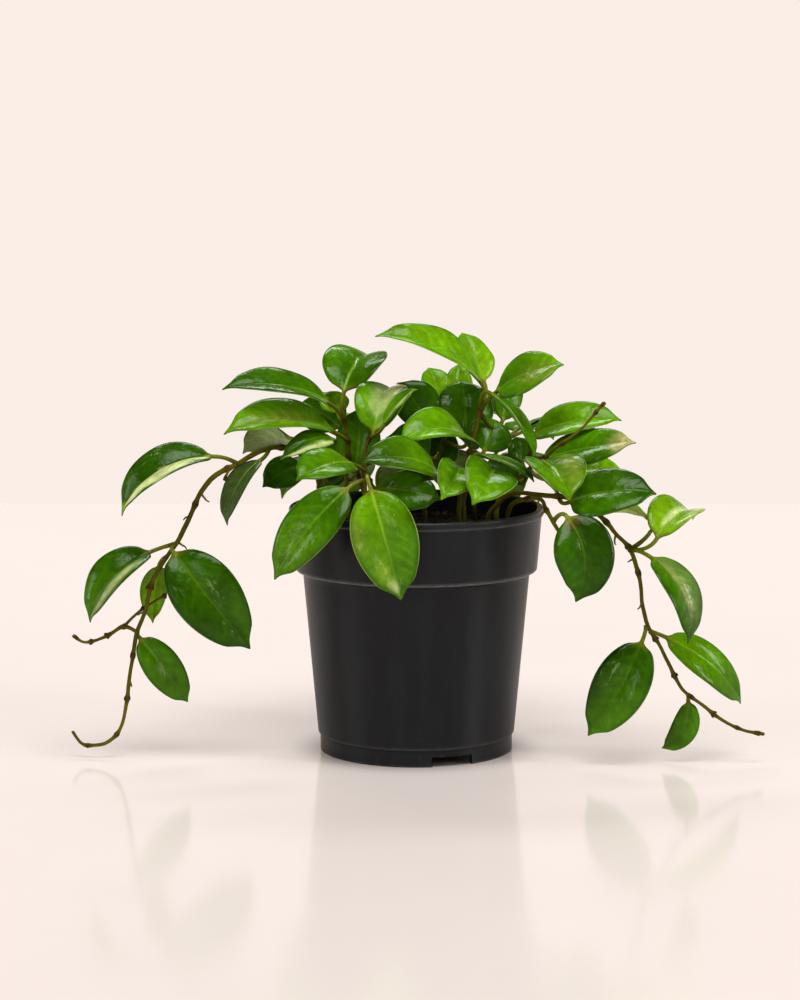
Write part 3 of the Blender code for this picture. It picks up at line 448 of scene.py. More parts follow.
# Floor and lamps
FLOOR_HALF = 0.853
FLOOR_CORNER = 0.40
FLOOR_DEPTH = 0.03
FLOOR_STEPS = 48
LIGHT_AIM = (0.0, 0.0, 0.12)
FLOOR_COLOUR = srgb(210, 200, 195)
PAINTED_FLOOR_GLOW = 0.30                   # painted light: the floor's glow stands in for a bright room's bounced light

# The photograph's camera
CAMERA_PLACE = (-7.7 * MM, -1.400, 0.309)
CAMERA_PITCH = math.radians(90 - 7.75)
FOCAL_LENGTH = 108.0
SENSOR = 36.0


def smoothstep(low, high, x):
    t = np.clip((x - low) / (high - low), 0, 1)
    return t * t * (3 - 2 * t)


def blend(a, b, share):
    return a * (1 - share) + b * share


def unit(v):
    return v / np.linalg.norm(v)


class Nodes:
    """A short way to write the node tree of a material, or of the world."""

    def __init__(self, name, owners=bpy.data.materials):
        self.owner = owners.new(name)
        self.owner.use_nodes = True
        self.tree = self.owner.node_tree

    def plug(self, socket, value):
        """Links an output into the socket, or sets the socket's number, vector or colour."""
        if isinstance(value, bpy.types.NodeSocket):
            self.tree.links.new(value, socket)
        elif isinstance(value, tuple) and len(value) < len(socket.default_value):
            socket.default_value = (*value, 1.0)
        else:
            socket.default_value = value

    def add(self, kind, inputs=None, **settings):
        node = self.tree.nodes.new("ShaderNode" + kind)
        for key, value in settings.items():
            setattr(node, key, value)
        for key, value in (inputs or {}).items():
            self.plug(node.inputs[key], value)
        return node

    def place(self):
        return self.add("TexCoord").outputs["Object"]

    def attribute(self, name, output="Vector"):
        return self.add("Attribute", attribute_name=name).outputs[output]

    def noise(self, vector, scale, detail=3.0, rough=0.55):
        inputs = {"Vector": vector, "Scale": scale, "Detail": detail, "Roughness": rough}
        return self.add("TexNoise", inputs).outputs["Fac"]

    def cells(self, vector, scale):
        inputs = {"Vector": vector, "Scale": scale, "Randomness": 1.0}
        return self.add("TexVoronoi", inputs, feature="F1").outputs

    def stretch(self, vector, *scale):
        return self.add("Mapping", {"Vector": vector, "Scale": scale}).outputs["Vector"]

    def separate(self, vector):
        return self.add("SeparateXYZ", {"Vector": vector}).outputs

    def math(self, operation, *values, clamp=False):
        node = self.add("Math", dict(enumerate(values)), operation=operation, use_clamp=clamp)
        return node.outputs[0]

    def times(self, product, *factors):
        for factor in factors:
            product = self.math("MULTIPLY", product, factor)
        return product

    def span(self, value, low, high, new_low=0.0, new_high=1.0, smooth=True):
        """Maps the range from low to high on the new one, and holds it beyond."""
        inputs = {"Value": value, "From Min": low, "From Max": high,
                  "To Min": new_low, "To Max": new_high}
        kind = "SMOOTHSTEP" if smooth else "LINEAR"
        return self.add("MapRange", inputs, interpolation_type=kind).outputs["Result"]

    def mix(self, factor, a, b, blend="MIX"):
        node = self.add("Mix", {0: factor, 6: a, 7: b}, data_type="RGBA", blend_type=blend)
        return node.outputs[2]

    def tinted(self, colour, tint, factor=1.0):
        """The colour multiplied by a tint, as far as the factor says."""
        return self.mix(factor, colour, tint, "MULTIPLY")

    def bump(self, height, distance, strength, below=None):
        inputs = {"Height": height, "Distance": distance, "Strength": strength}
        if below is not None:
            inputs["Normal"] = below
        return self.add("Bump", inputs).outputs["Normal"]

    def finish(self, **inputs):
        """Feeds the shader's inputs by name, with an underscore for a space."""
        shader = self.tree.nodes["Principled BSDF"]
        for key, value in inputs.items():
            self.plug(shader.inputs[key.replace("_", " ")], value)
        return self.owner


def leaf_material():
    """A thick waxy blade: its own tint, side veins, a pale rib, painted shade towards its edge with a
    painted highlight along its rim, and fine wax.
    """
    n = Nodes("waxy_leaf")
    share, across, side = n.separate(n.attribute("blade"))
    rib_strength, edge_highlight_strength, mark_strength = n.separate(n.attribute("trim"))
    size = n.attribute("size")
    along_mm, across_mm, seed = n.separate(size)
    top = n.span(side, -0.2, 0.4)
    on_blade = n.span(share, 0.0, 0.05)
    outward = n.math("ABSOLUTE", across)
    away = n.math("ABSOLUTE", across_mm)
    seeds = n.add("CombineXYZ", {"X": seed, "Y": seed, "Z": 0.0}).outputs[0]
    place = n.add("VectorMath", {0: n.place(), 1: seeds}, operation="ADD").outputs[0]

    clouds = n.noise(place, 70.0, 4.0)
    blots = n.noise(place, 260.0)
    shade = n.times(n.span(clouds, 0.30, 0.70, 0.62, 1.16, smooth=False),
                    n.span(blots, 0.3, 0.7, 0.84, 1.14, smooth=False))
    greys = n.add("CombineColor", {"Red": shade, "Green": shade, "Blue": shade}).outputs[0]
    colour = n.tinted(n.attribute("tint", "Color"), greys)
    grain = n.noise(place, 900.0, 2.0)
    colour = n.tinted(colour, (0.72, 0.80, 0.62), n.span(grain, 0.35, 0.75, 0.0, 0.45))

    # side veins leave the rib at a slant and bend towards the tip
    bend = n.times(away, n.math("ADD", 0.55, n.times(away, 0.035)))
    phase = n.math("DIVIDE", n.math("SUBTRACT", along_mm, bend), VEIN_STEP)
    phase = n.math("ADD", phase, n.times(n.noise(place, 120.0, 2.0), 0.35))
    saw = n.math("ABSOLUTE", n.math("SUBTRACT", n.math("FRACT", phase), 0.5))
    inner = n.times(n.span(outward, 0.55, 0.95, 1.0, 0.0), on_blade)
    vein = n.times(n.span(saw, 0.0, 0.10, 1.0, 0.0), inner, 0.20)
    colour = n.tinted(colour, (1.45, 1.35, 1.5), vein)
    quilt = n.times(n.math("COSINE", n.times(phase, math.tau)), inner)
    between = n.times(n.span(quilt, -1.0, 0.2, 0.0, 0.60), n.span(clouds, 0.4, 0.6))
    colour = n.tinted(colour, (0.74, 0.82, 0.70), between)

    # painted shade: the blade darkens towards its edge
    painted_edge_shade = n.times(n.span(outward, 0.78, 0.96), on_blade, 0.75)
    colour = n.tinted(colour, (0.50, 0.60, 0.42), painted_edge_shade)

    # midrib, wider and paler at the foot
    rib_width = n.span(share, 0.0, 1.0, 1.10, 0.28, smooth=False)
    rib = n.math("SUBTRACT", 1.0, n.math("DIVIDE", away, rib_width), clamp=True)
    rib = n.times(rib, rib_strength, on_blade, n.span(share, 0.1, 0.8, 1.0, 0.25), 0.72)
    colour = n.mix(rib, colour, srgb(164, 198, 62))

    # thin pale line along the rim, a painted highlight
    painted_edge_highlight = n.times(n.span(outward, 0.955, 0.995), edge_highlight_strength, on_blade, 0.7)
    colour = n.mix(painted_edge_highlight, colour, srgb(186, 206, 104))

    # small pale flecks, smears of dried water where the paint has marks, and a brown nib
    fleck = n.times(n.span(n.cells(place, 230.0)["Distance"], 0.06, 0.14, 1.0, 0.0),
                    n.span(n.noise(place, 60.0, 1.0), 0.48, 0.60))
    smear = n.span(n.noise(n.stretch(size, 0.16, 0.42, 1.0), 1.0, 3.0, 0.6), 0.55, 0.66)
    smear = n.times(smear, n.span(mark_strength, 0.2, 0.8))
    fleck = n.times(n.math("MAXIMUM", fleck, smear), mark_strength, top)
    colour = n.mix(n.times(fleck, 0.20), colour, srgb(206, 224, 170))
    nib = n.times(n.span(share, 0.978, 0.990), 0.85)
    colour = n.mix(nib, colour, srgb(62, 44, 22))

    # waxy above, duller below and in the clouds of wax
    rough = n.span(n.noise(place, 130.0), 0.35, 0.7, 0.15, 0.27)
    rough = n.math("ADD", rough, n.times(n.math("SUBTRACT", 1.0, top), 0.18))
    rough = n.math("SUBTRACT", rough, n.times(fleck, 0.10))
    normal = n.bump(n.noise(place, 160.0, 2.0), 0.0009, 0.8)
    normal = n.bump(quilt, 0.00007, 0.5, normal)
    normal = n.bump(fleck, 0.00020, 0.5, normal)
    normal = n.bump(grain, 0.00006, 0.4, normal)
    return n.finish(
        Base_Color=colour, Roughness=rough, Normal=normal, Specular_IOR_Level=0.13,
        Coat_Weight=0.13, Coat_Roughness=0.10, Subsurface_Weight=0.08,
        Subsurface_Radius=(0.7, 1.0, 0.25), Subsurface_Scale=0.0022)


def stem_material():
    """Woody stems: their own tint, fine length-wise streaks and small corky dots."""
    n = Nodes("stem_bark")
    place = n.place()
    streaks = n.noise(n.stretch(n.attribute("size"), 0.35, 3.0, 1.0), 1.0, 4.0, 0.65)
    darker = n.span(streaks, 0.4, 0.72, 0.0, 0.75)
    colour = n.tinted(n.attribute("tint", "Color"), (0.50, 0.46, 0.36), darker)
    patches = n.span(n.noise(place, 160.0), 0.5, 0.75, 0.0, 0.40)
    colour = n.mix(patches, colour, srgb(118, 104, 26))
    cork = n.span(n.cells(place, 900.0)["Distance"], 0.10, 0.22, 1.0, 0.0)
    colour = n.mix(n.times(cork, 0.35), colour, srgb(136, 114, 50))
    normal = n.bump(cork, 0.00012, 0.6, n.bump(streaks, 0.00035, 0.7))
    return n.finish(
        Base_Color=colour, Roughness=n.span(streaks, 0.3, 0.7, 0.42, 0.66), Normal=normal,
        Specular_IOR_Level=0.15, Coat_Weight=0.04, Coat_Roughness=0.3)


def pot_material():
    """Satin black plastic: flow streaks, fine pitting, paler edges that are partly wear and partly a
    painted highlight, and a little dust.
    """
    n = Nodes("pot_plastic_satin")
    place = n.place()
    low = n.span(n.separate(place)[2], 0.0, 0.022, 1.0, 0.0)
    flow = n.noise(n.stretch(place, 1.0, 1.0, 0.16), 90.0, 4.0)
    colour = n.mix(n.span(flow, 0.35, 0.7), srgb(21, 23, 26), srgb(30, 33, 36))
    dust = n.span(n.noise(place, 260.0, 4.0, 0.65), 0.56, 0.74)
    dust = n.times(dust, n.math("ADD", 0.006, n.times(low, 0.14)))
    colour = n.mix(dust, colour, srgb(116, 106, 94))
    # paler edges: partly real wear, partly a painted edge highlight
    scuff = n.noise(n.stretch(place, 1.0, 1.0, 6.0), 340.0, 3.0, 0.7)
    worn_and_highlit = n.times(n.attribute("wear", "Fac"), n.span(scuff, 0.35, 0.62, 0.45, 1.0), 0.60)
    colour = n.mix(worn_and_highlit, colour, srgb(138, 137, 136))
    rough = n.math("ADD", n.span(flow, 0.3, 0.7, 0.33, 0.43), n.times(dust, 0.5))
    grain = n.noise(place, 1500.0, 2.0)
    normal = n.bump(grain, 0.00002, 0.20, n.bump(flow, 0.00010, 0.12))
    return n.finish(Base_Color=colour, Roughness=rough, Normal=normal, Specular_IOR_Level=0.30)


def soil_material(name, dark, pale):
    """Bark and peat: crumbs of several browns, with fine grit in the bump."""
    n = Nodes(name)
    place = n.place()
    cells = n.cells(place, 420.0)
    crumbs = n.noise(place, 700.0, 5.0, 0.65)
    colour = n.mix(n.span(n.separate(cells["Color"])[0], 0.3, 1.0, 0.0, 0.9), dark, pale)
    colour = n.mix(n.span(crumbs, 0.35, 0.7, 0.0, 0.7), colour, srgb(18, 13, 10))
    normal = n.bump(cells["Distance"], 0.0004, 0.5, n.bump(crumbs, 0.0008, 0.9))
    return n.finish(Base_Color=colour, Roughness=n.span(crumbs, 0.3, 0.7, 0.75, 0.98), Normal=normal)


def floor_material():
    """A smooth pale top that glows a little, a painted fill light; the glow fades out under and round the
    pot's foot, a painted contact shadow.
    """
    n = Nodes("pale_floor")
    place = n.place()
    away = n.add("VectorMath", {0: place}, operation="LENGTH").outputs["Value"]
    # painted light and shadow: the floor glows, and the glow fades to nothing round the pot's foot
    painted_glow = n.span(away, 0.9 * SKIRT_RADIUS, 1.4 * SKIRT_RADIUS, 0.0, PAINTED_FLOOR_GLOW)
    paler = tuple(c * 1.03 for c in FLOOR_COLOUR)
    colour = n.mix(n.span(n.noise(place, 6.0), 0.3, 0.7), FLOOR_COLOUR, paler)
    return n.finish(Base_Color=colour, Roughness=0.12, Emission_Color=FLOOR_COLOUR,
                    Emission_Strength=painted_glow, Specular_IOR_Level=0.38)


def add_object(name, mesh, material=None):
    if material:
        mesh.materials.append(material)
    piece = bpy.data.objects.new(name, mesh)
    bpy.context.scene.collection.objects.link(piece)
    return piece


def add_bmesh(name, bm, material=None):
    mesh = bpy.data.meshes.new(name)
    bm.to_mesh(mesh)
    bm.free()
    return add_object(name, mesh, material)


class Builder:
    """Collects vertices, faces and vertex attributes, and makes one mesh object of them."""

    def __init__(self):
        self.count = 0
        self.places, self.faces = [], []
        self.values = {"tint": [], "blade": [], "trim": [], "size": []}

    def add(self, places, faces, **values):
        self.faces += [tuple(self.count + i for i in face) for face in faces]
        self.count += len(places)
        self.places.append(np.asarray(places, float))
        for key in self.values:
            value = np.asarray(values.get(key, (0.0, 0.0, 0.0)), float)
            self.values[key].append(np.broadcast_to(value, (len(places), 3)))

    def finish(self, name, material):
        mesh = bpy.data.meshes.new(name)
        mesh.from_pydata((np.vstack(self.places) * MM).tolist(), [], self.faces)
        for key, rows in self.values.items():
            attribute = mesh.attributes.new(key, "FLOAT_VECTOR", "POINT")
            attribute.data.foreach_set("vector", np.vstack(rows).astype(np.float32).ravel())
        mesh.shade_smooth()
        return add_object(name, mesh, material)


def loft_faces(count, sides):
    """Quads between rings of vertices, with a cap on the first ring and a tip past the last."""
    faces = []
    for i in range(count - 1):
        for j in range(sides):
            k = (j + 1) % sides
            faces.append((i * sides + j, i * sides + k, (i + 1) * sides + k, (i + 1) * sides + j))
    last = (count - 1) * sides
    faces.append(tuple(range(sides))[::-1])
    faces += [(last + j, last + (j + 1) % sides, count * sides) for j in range(sides)]
    return faces


def closed_section(across, upper, lower):
    """A ring of offsets: the upper side from edge to edge, then the lower side back."""
    back = np.stack([across, lower], 1)[-2:0:-1]
    return np.vstack([np.stack([across, upper], 1), back])


class LeafShape:
    """The middle line of a leaf and its sections, in millimetres."""

    def __init__(self, leaf, seed):
        self.leaf = leaf
        self.at = np.array(leaf.at, float)
        self.base = np.array(leaf.base, float)
        self.span = np.array(leaf.tip, float) - self.base
        self.length = np.linalg.norm(self.span)
        self.along = unit(self.span)
        face = np.array(leaf.face, float)
        self.up = unit(face - face.dot(self.along) * self.along)
        self.side = np.cross(self.up, self.along)
        draw = random.Random(seed)
        self.phase = [draw.uniform(0, math.tau) for _ in range(3)]
        self.wave = draw.uniform(0.015, 0.04)
        self.twist = draw.uniform(-0.05, 0.05)

    def middle(self, s):
        leaf = self.leaf
        hump = 4 * s * (1 - s)
        bend = max(0.0, (s - CURL_START) / (1 - CURL_START)) ** 2
        hook = max(0.0, (s - HOOK_START) / (1 - HOOK_START)) ** 2
        rise = self.length * (leaf.arch * hump - leaf.curl * bend) - HOOK_DROP * hook
        return self.base + self.span * s + self.up * rise + self.side * self.length * leaf.bow * hump

    def tangent(self, s):
        step = 0.001
        return unit(self.middle(min(1, s + step)) - self.middle(max(0, s - step)))

    def frame(self, tangent):
        up = self.up - self.up.dot(tangent) * tangent
        if np.linalg.norm(up) < 0.05:
            up = self.along - self.along.dot(tangent) * tangent
        up = unit(up)
        return up, np.cross(tangent, up)

    def half_width(self, s):
        narrower = 1 - TIP_NARROWING * smoothstep(0.84, 0.97, s)
        outline = s ** FOOT_POWER * (1 - s) ** TIP_POWER / OUTLINE_SCALE
        return self.leaf.width / 2 * outline * narrower

    def petiole(self, t):
        """Centre, directions and radius of the petiole at a share t of its length."""
        bend = self.base - self.tangent(0) * np.linalg.norm(self.base - self.at) * 0.55
        centre = (1 - t) ** 2 * self.at + 2 * t * (1 - t) * bend + t * t * self.base
        tangent = unit((1 - t) * (bend - self.at) + t * (self.base - bend) + 1e-9)
        up, side = self.frame(tangent)
        radius = PETIOLE_RADIUS * (0.90 + 0.38 * (1 - t) ** 4 + 0.12 * t ** 3)
        return centre, up, side, radius

    def round_offsets(self, radius):
        """Across and up offsets of a round section, with a faint groove on its upper side."""
        q = np.array(ACROSS)
        rise = np.sqrt(np.maximum(0.0, 1 - q * q))
        return closed_section(q, rise - 0.12 * np.exp(-(q / 0.3) ** 2), -rise) * radius

    def flat_offsets(self, s):
        """Across and up offsets of the blade's section."""
        q = np.array(ACROSS)
        half = max(self.half_width(s), 0.15)
        thick = THICKNESS * (1 - THINNING * s) * (1 - 0.6 * smoothstep(0.93, 1.0, s))
        body = 0.5 * thick * np.maximum(0.0, 1 - q * q) ** 0.32
        lift = half * self.leaf.fold * (np.sqrt(q * q + 0.001) - 0.032)
        lift = lift + half * CREASE * (1 - np.exp(-np.abs(q) / 0.3)) * smoothstep(0.0, 0.2, s)
        ripple = np.where(q > 0, math.sin(12 * s + self.phase[1]), math.sin(9 * s + self.phase[0]))
        lift = lift + half * self.wave * ripple * q * q
        lift = lift + half * self.twist * s * q
        lift = lift - half * RECURVE * np.abs(q) ** 4
        mm = q * half
        fade = 1 - 0.7 * s
        top = lift + body - RIB_GROOVE * fade * np.exp(-(mm / 0.55) ** 2)
        low = lift - body - RIB_RIDGE * fade * np.exp(-(mm / 0.80) ** 2)
        return closed_section(mm, top, low)


def leaf_tint(paint, s, q, side, seed):
    """The blade's colour at shares s along and q across, for its upper or lower side."""
    foot, end, under = (np.array(c) for c in (paint.foot, paint.end, paint.under))
    k = smoothstep(0.05, 0.95, s)[:, None]
    top = blend(foot, end, k)
    # painted shade and light: one half of the blade lighter, the other darker, as light falls on its fold
    top = top * (1 + paint.tilt * np.clip(q, -1, 1))[:, None]
    wobble = 0.10 * np.sin(13 * s + 5 * q + seed) + 0.08 * np.sin(23 * s - 9 * q + 2 * seed)
    for patch in paint.patches:
        away = np.sqrt(((s - patch.s) / patch.long) ** 2 + ((q - patch.q) / patch.wide) ** 2)
        inside = 1 - smoothstep(1 - patch.soft, 1 + patch.soft, away + wobble)
        m = (patch.strength * inside)[:, None]
        top = blend(top, np.array(patch.colour), m)
    above = smoothstep(-0.5, 0.5, side)[:, None]
    return blend(under, top, above)


def add_leaf(builder, leaf, seed):
    """Lofts one leaf: its petiole, its blade and its tip, with what its material reads."""
    shape = LeafShape(leaf, seed)
    ring = len(ACROSS) * 2 - 2
    q_ring = np.array(ACROSS + ACROSS[-2:0:-1])
    side_ring = np.ones(ring)
    side_ring[len(ACROSS):] = -1.0
    side_ring[0] = side_ring[len(ACROSS) - 1] = 0.0
    places, tints, blades, sizes = [], [], [], []

    def add_section(centre, up, side, offsets, tint, share, run):
        places.append(centre + offsets[:, :1] * side + offsets[:, 1:] * up)
        tints.append(tint)
        blades.append(np.stack([np.full(ring, share), q_ring, side_ring], 1))
        sizes.append(np.stack([np.full(ring, run), offsets[:, 0], np.full(ring, seed)], 1))

    green = np.array(PETIOLE_GREEN)
    brown = np.array(STEM_YOUNG) * 0.8
    gap = np.linalg.norm(shape.base - shape.at)
    for i in range(PETIOLE_STEPS):
        t = i / PETIOLE_STEPS
        centre, up, side, radius = shape.petiole(t)
        tint = np.tile(blend(brown, green, smoothstep(0.0, 0.6, t)), (ring, 1))
        add_section(centre, up, side, shape.round_offsets(radius), tint, (t - 1) * 0.2, (t - 1) * gap)
    for i in range(ALONG_STEPS):
        x = i / (ALONG_STEPS - 1)
        s = 0.994 * (0.55 * x + 0.45 * (0.5 - 0.5 * math.cos(math.pi * x)))
        up, side = shape.frame(shape.tangent(s))
        offsets = blend(shape.round_offsets(PETIOLE_RADIUS), shape.flat_offsets(s),
                        smoothstep(0.0, ROUND_FOOT, s))
        tint = leaf_tint(leaf.paint, np.full(ring, s), -q_ring, side_ring, seed)
        tint = blend(green, tint, smoothstep(0.0, 0.10, s))
        add_section(shape.middle(s), up, side, offsets, tint, s, s * shape.length)
    count = len(places)
    places.append(shape.middle(1.0)[None])
    tints.append(tints[-1][:1])
    blades.append(np.array([[1.0, 0.0, 0.0]]))
    sizes.append(np.array([[shape.length, 0.0, seed]]))
    where = np.vstack(blades)
    marked = np.full(len(where), leaf.paint.specks)
    for mark in leaf.paint.marks:
        away = ((where[:, 0] - mark.s) / mark.long) ** 2 + ((-where[:, 1] - mark.q) / mark.wide) ** 2
        marked = np.maximum(marked, np.exp(-away))
    trim = np.stack([np.full(len(where), leaf.paint.rib),
                     np.full(len(where), leaf.paint.margin), marked], 1)
    builder.add(np.vstack(places), loft_faces(count, ring), tint=np.vstack(tints),
                blade=where, trim=trim, size=np.vstack(sizes))


def even_route(points, step):
    """Points an even step apart on a smooth curve through the given ones, and their runs."""
    knots = np.array([points[0], *points, points[-1]], float)
    t = np.arange(ROUTE_STEPS)[:, None] / ROUTE_STEPS
    fine = []
    for before, here, there, after in zip(knots, knots[1:], knots[2:], knots[3:]):
        fine.append(0.5 * (2 * here + (there - before) * t
                           + (2 * before - 5 * here + 4 * there - after) * t ** 2
                           + (3 * here - before - 3 * there + after) * t ** 3))
    fine = np.vstack(fine + [knots[-1:]])
    run = np.concatenate([[0], np.cumsum(np.linalg.norm(np.diff(fine, axis=0), axis=1))])
    wanted = np.linspace(0, run[-1], max(3, int(run[-1] / step)) + 1)
    return np.stack([np.interp(wanted, run, fine[:, i]) for i in range(3)], 1), wanted


def turning_frames(route):
    """A tangent and a side direction at each point, turning as little as it can."""
    tangents = np.gradient(route, axis=0)
    tangents /= np.linalg.norm(tangents, axis=1)[:, None]
    side = unit(np.cross(tangents[0], (0.31, 0.87, 0.38)))
    sides = []
    for tangent in tangents:
        side = unit(side - side.dot(tangent) * tangent)
        sides.append(side)
    return tangents, np.array(sides)


def add_tube(builder, route, run, radii, tints, sides, seed):
    """A tube through the route with a radius and a tint at each of its points."""
    tangents, across = turning_frames(route)
    turns = np.arange(sides) * math.tau / sides
    places, tint_rows, sizes = [], [], []
    for i, centre in enumerate(route):
        up = np.cross(tangents[i], across[i])
        ripple = 1 + 0.05 * np.sin(turns * 3 + run[i] * 0.7 + seed)
        ripple = ripple + 0.03 * np.sin(turns * 5 - run[i] * 1.9)
        offsets = (np.cos(turns)[:, None] * across[i] + np.sin(turns)[:, None] * up)
        places.append(centre + offsets * (radii[i] * ripple)[:, None])
        tint_rows.append(np.tile(tints[i], (sides, 1)))
        sizes.append(np.stack([np.full(sides, run[i]), np.sin(turns) + seed, np.cos(turns)], 1))
    count = len(places)
    places.append((route[-1] + tangents[-1] * radii[-1] * 0.6)[None])
    tint_rows.append(tint_rows[-1][:1])
    sizes.append(sizes[-1][:1])
    faces = loft_faces(count, sides)
    builder.add(np.vstack(places), faces, tint=np.vstack(tint_rows), size=np.vstack(sizes))


def add_scale(builder, place, direction, length, radius, tint):
    """A small pointed bud scale that stands off the stem at a node."""
    direction = unit(direction)
    shares = np.linspace(-0.35, 1.0, 7)
    route = np.array([place + direction * length * t for t in shares])
    radii = radius * np.maximum(0.12, np.sqrt(np.clip(1 - np.abs(shares) ** 1.6, 0, 1)))
    tints = [np.array(tint) * (0.75 + 0.5 * max(0, t)) for t in shares]
    add_tube(builder, route, shares * length, radii, tints, 8, 0.0)


def add_stem(builder, stem, seed, main):
    route, run = even_route(stem.points, STEM_STEP)
    share = run / run[-1]
    radii = stem.start + (stem.end - stem.start) * share
    swell = np.zeros(len(route))
    for node in stem.nodes:
        swell = np.maximum(swell, np.exp(-(((share - node) * run[-1]) / NODE_LENGTH) ** 2))
    thin = 0.75 - 0.05 * np.sin(run * 0.23 + seed)
    radii = radii * (thin + NODE_SWELL * swell)
    draw = random.Random(seed)
    old, young, brown = (np.array(c) for c in (STEM_OLD, STEM_YOUNG, NODE_BROWN))
    tints = []
    for i in range(len(route)):
        base = blend(old, young, 0.5 + 0.5 * math.sin(run[i] * 0.09 + seed) * 0.6)
        if not main:
            base = blend(base, young, 0.6)
        # painted shade: the main stem darkens from just above the pot's rim down to the mix
        low = smoothstep(118, 104, route[i][2]) if main and share[i] < 0.3 else 0.0
        base = base * (1 - 0.6 * low)
        tints.append(blend(base, brown, swell[i]))
    add_tube(builder, route, run, radii, tints, STEM_SIDES, seed)
    tangents, across = turning_frames(route)
    for node in stem.nodes:
        i = min(len(route) - 1, int(round(node * (len(route) - 1))))
        turn = draw.uniform(0, math.tau)
        for half in (0.0, math.pi):
            up = np.cross(tangents[i], across[i])
            out = math.cos(turn + half) * across[i] + math.sin(turn + half) * up
            start = route[i] + out * radii[i] * 0.75
            add_scale(builder, start, out * 0.5 + tangents[i] * 0.9, draw.uniform(0.9, 1.5),
                      draw.uniform(0.55, 0.75), NODE_BROWN)


def add_root(builder, place, direction, length, seed):
    """A short aerial root, which wavers and tapers."""
    draw = random.Random(seed)
    step = unit(np.array(direction, float))
    at = np.array(place, float)
    route = [at]
    for _ in range(9):
        step = unit(step + np.array([draw.uniform(-0.35, 0.35) for _ in range(3)]))
        at = at + step * length / 9
        route.append(at)
    route = np.array(route)
    run = np.linspace(0, length, len(route))
    radii = np.linspace(0.62, 0.28, len(route))
    tint = np.array(srgb(140, 112, 58)) * draw.uniform(0.7, 1.2)
    add_tube(builder, route, run, radii, [tint] * len(route), 8, seed)


def make_vine(vine, number, leaf_look, stem_look):
    blades, stems = Builder(), Builder()
    for i, leaf in enumerate(vine.leaves):
        add_leaf(blades, leaf, 1.7 * i + 11.3 * number)
    for i, stem in enumerate(vine.stems):
        add_stem(stems, stem, 2.3 * i + 5.1 * number, main=(i == 0))
    for i, (place, direction, length) in enumerate(vine.roots):
        add_root(stems, place, direction, length, 100 * number + i)
    leaves = blades.finish(f"{vine.name}_leaves", leaf_look)
    stalks = stems.finish(f"{vine.name}_stem", stem_look)
    for piece in (leaves, stalks):
        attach(piece, BODY)
    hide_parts(vine.name)


def rounded(profile, corners):
    """Rounds the named corners of an (r, z) outline; corners maps index to radius."""
    points = []
    for i, point in enumerate(profile):
        if i not in corners:
            points.append(point)
            continue
        here = Vector(point)
        before, after = Vector(profile[i - 1]), Vector(profile[i + 1])
        reach = min(corners[i], (before - here).length * 0.45, (after - here).length * 0.45)
        first = here + (before - here).normalized() * reach
        last = here + (after - here).normalized() * reach
        for k in range(5):
            t = k / 4
            points.append(tuple((1 - t) ** 2 * first + 2 * t * (1 - t) * here + t * t * last))
    return points


def cavity(clear):
    """The pot's inner side from the middle of its floor to the foot of its lip."""
    floor = FLOOR_UNDER + FLOOR_WALL
    return [
        (0.0, FLOOR_WALL + clear),
        (DISH_RADIUS - clear, FLOOR_WALL + clear),
        (DISH_RIM_RADIUS - clear, floor + clear),
        (BODY_FOOT_RADIUS - POT_WALL - 1.6 * MM - clear, floor + clear),
        (BODY_FOOT_RADIUS - POT_WALL - clear, floor + 1.8 * MM + clear),
        (BODY_TOP_RADIUS - POT_WALL - clear, BODY_TOP + 0.6 * MM),
        (BODY_TOP_RADIUS - POT_WALL + 0.7 * MM - clear, COLLAR_FOOT + 0.6 * MM + clear),
        (COLLAR_FOOT_RADIUS - POT_WALL - clear, COLLAR_FOOT + 1.8 * MM + clear),
        (COLLAR_TOP_RADIUS - POT_WALL - clear, COLLAR_TOP),
    ]


def edge_loops(outline):
    """Adds a point near both ends of every long straight, which keeps the wear and painted highlight at
    its edges.
    """
    points = [outline[0]]
    for before, after in zip(outline, outline[1:]):
        here, there = Vector(before), Vector(after)
        length = (there - here).length
        if length > 3 * LOOP_REACH:
            points += [tuple(here.lerp(there, share))
                       for share in (LOOP_REACH / length, 1 - LOOP_REACH / length)]
        points.append(after)
    return points


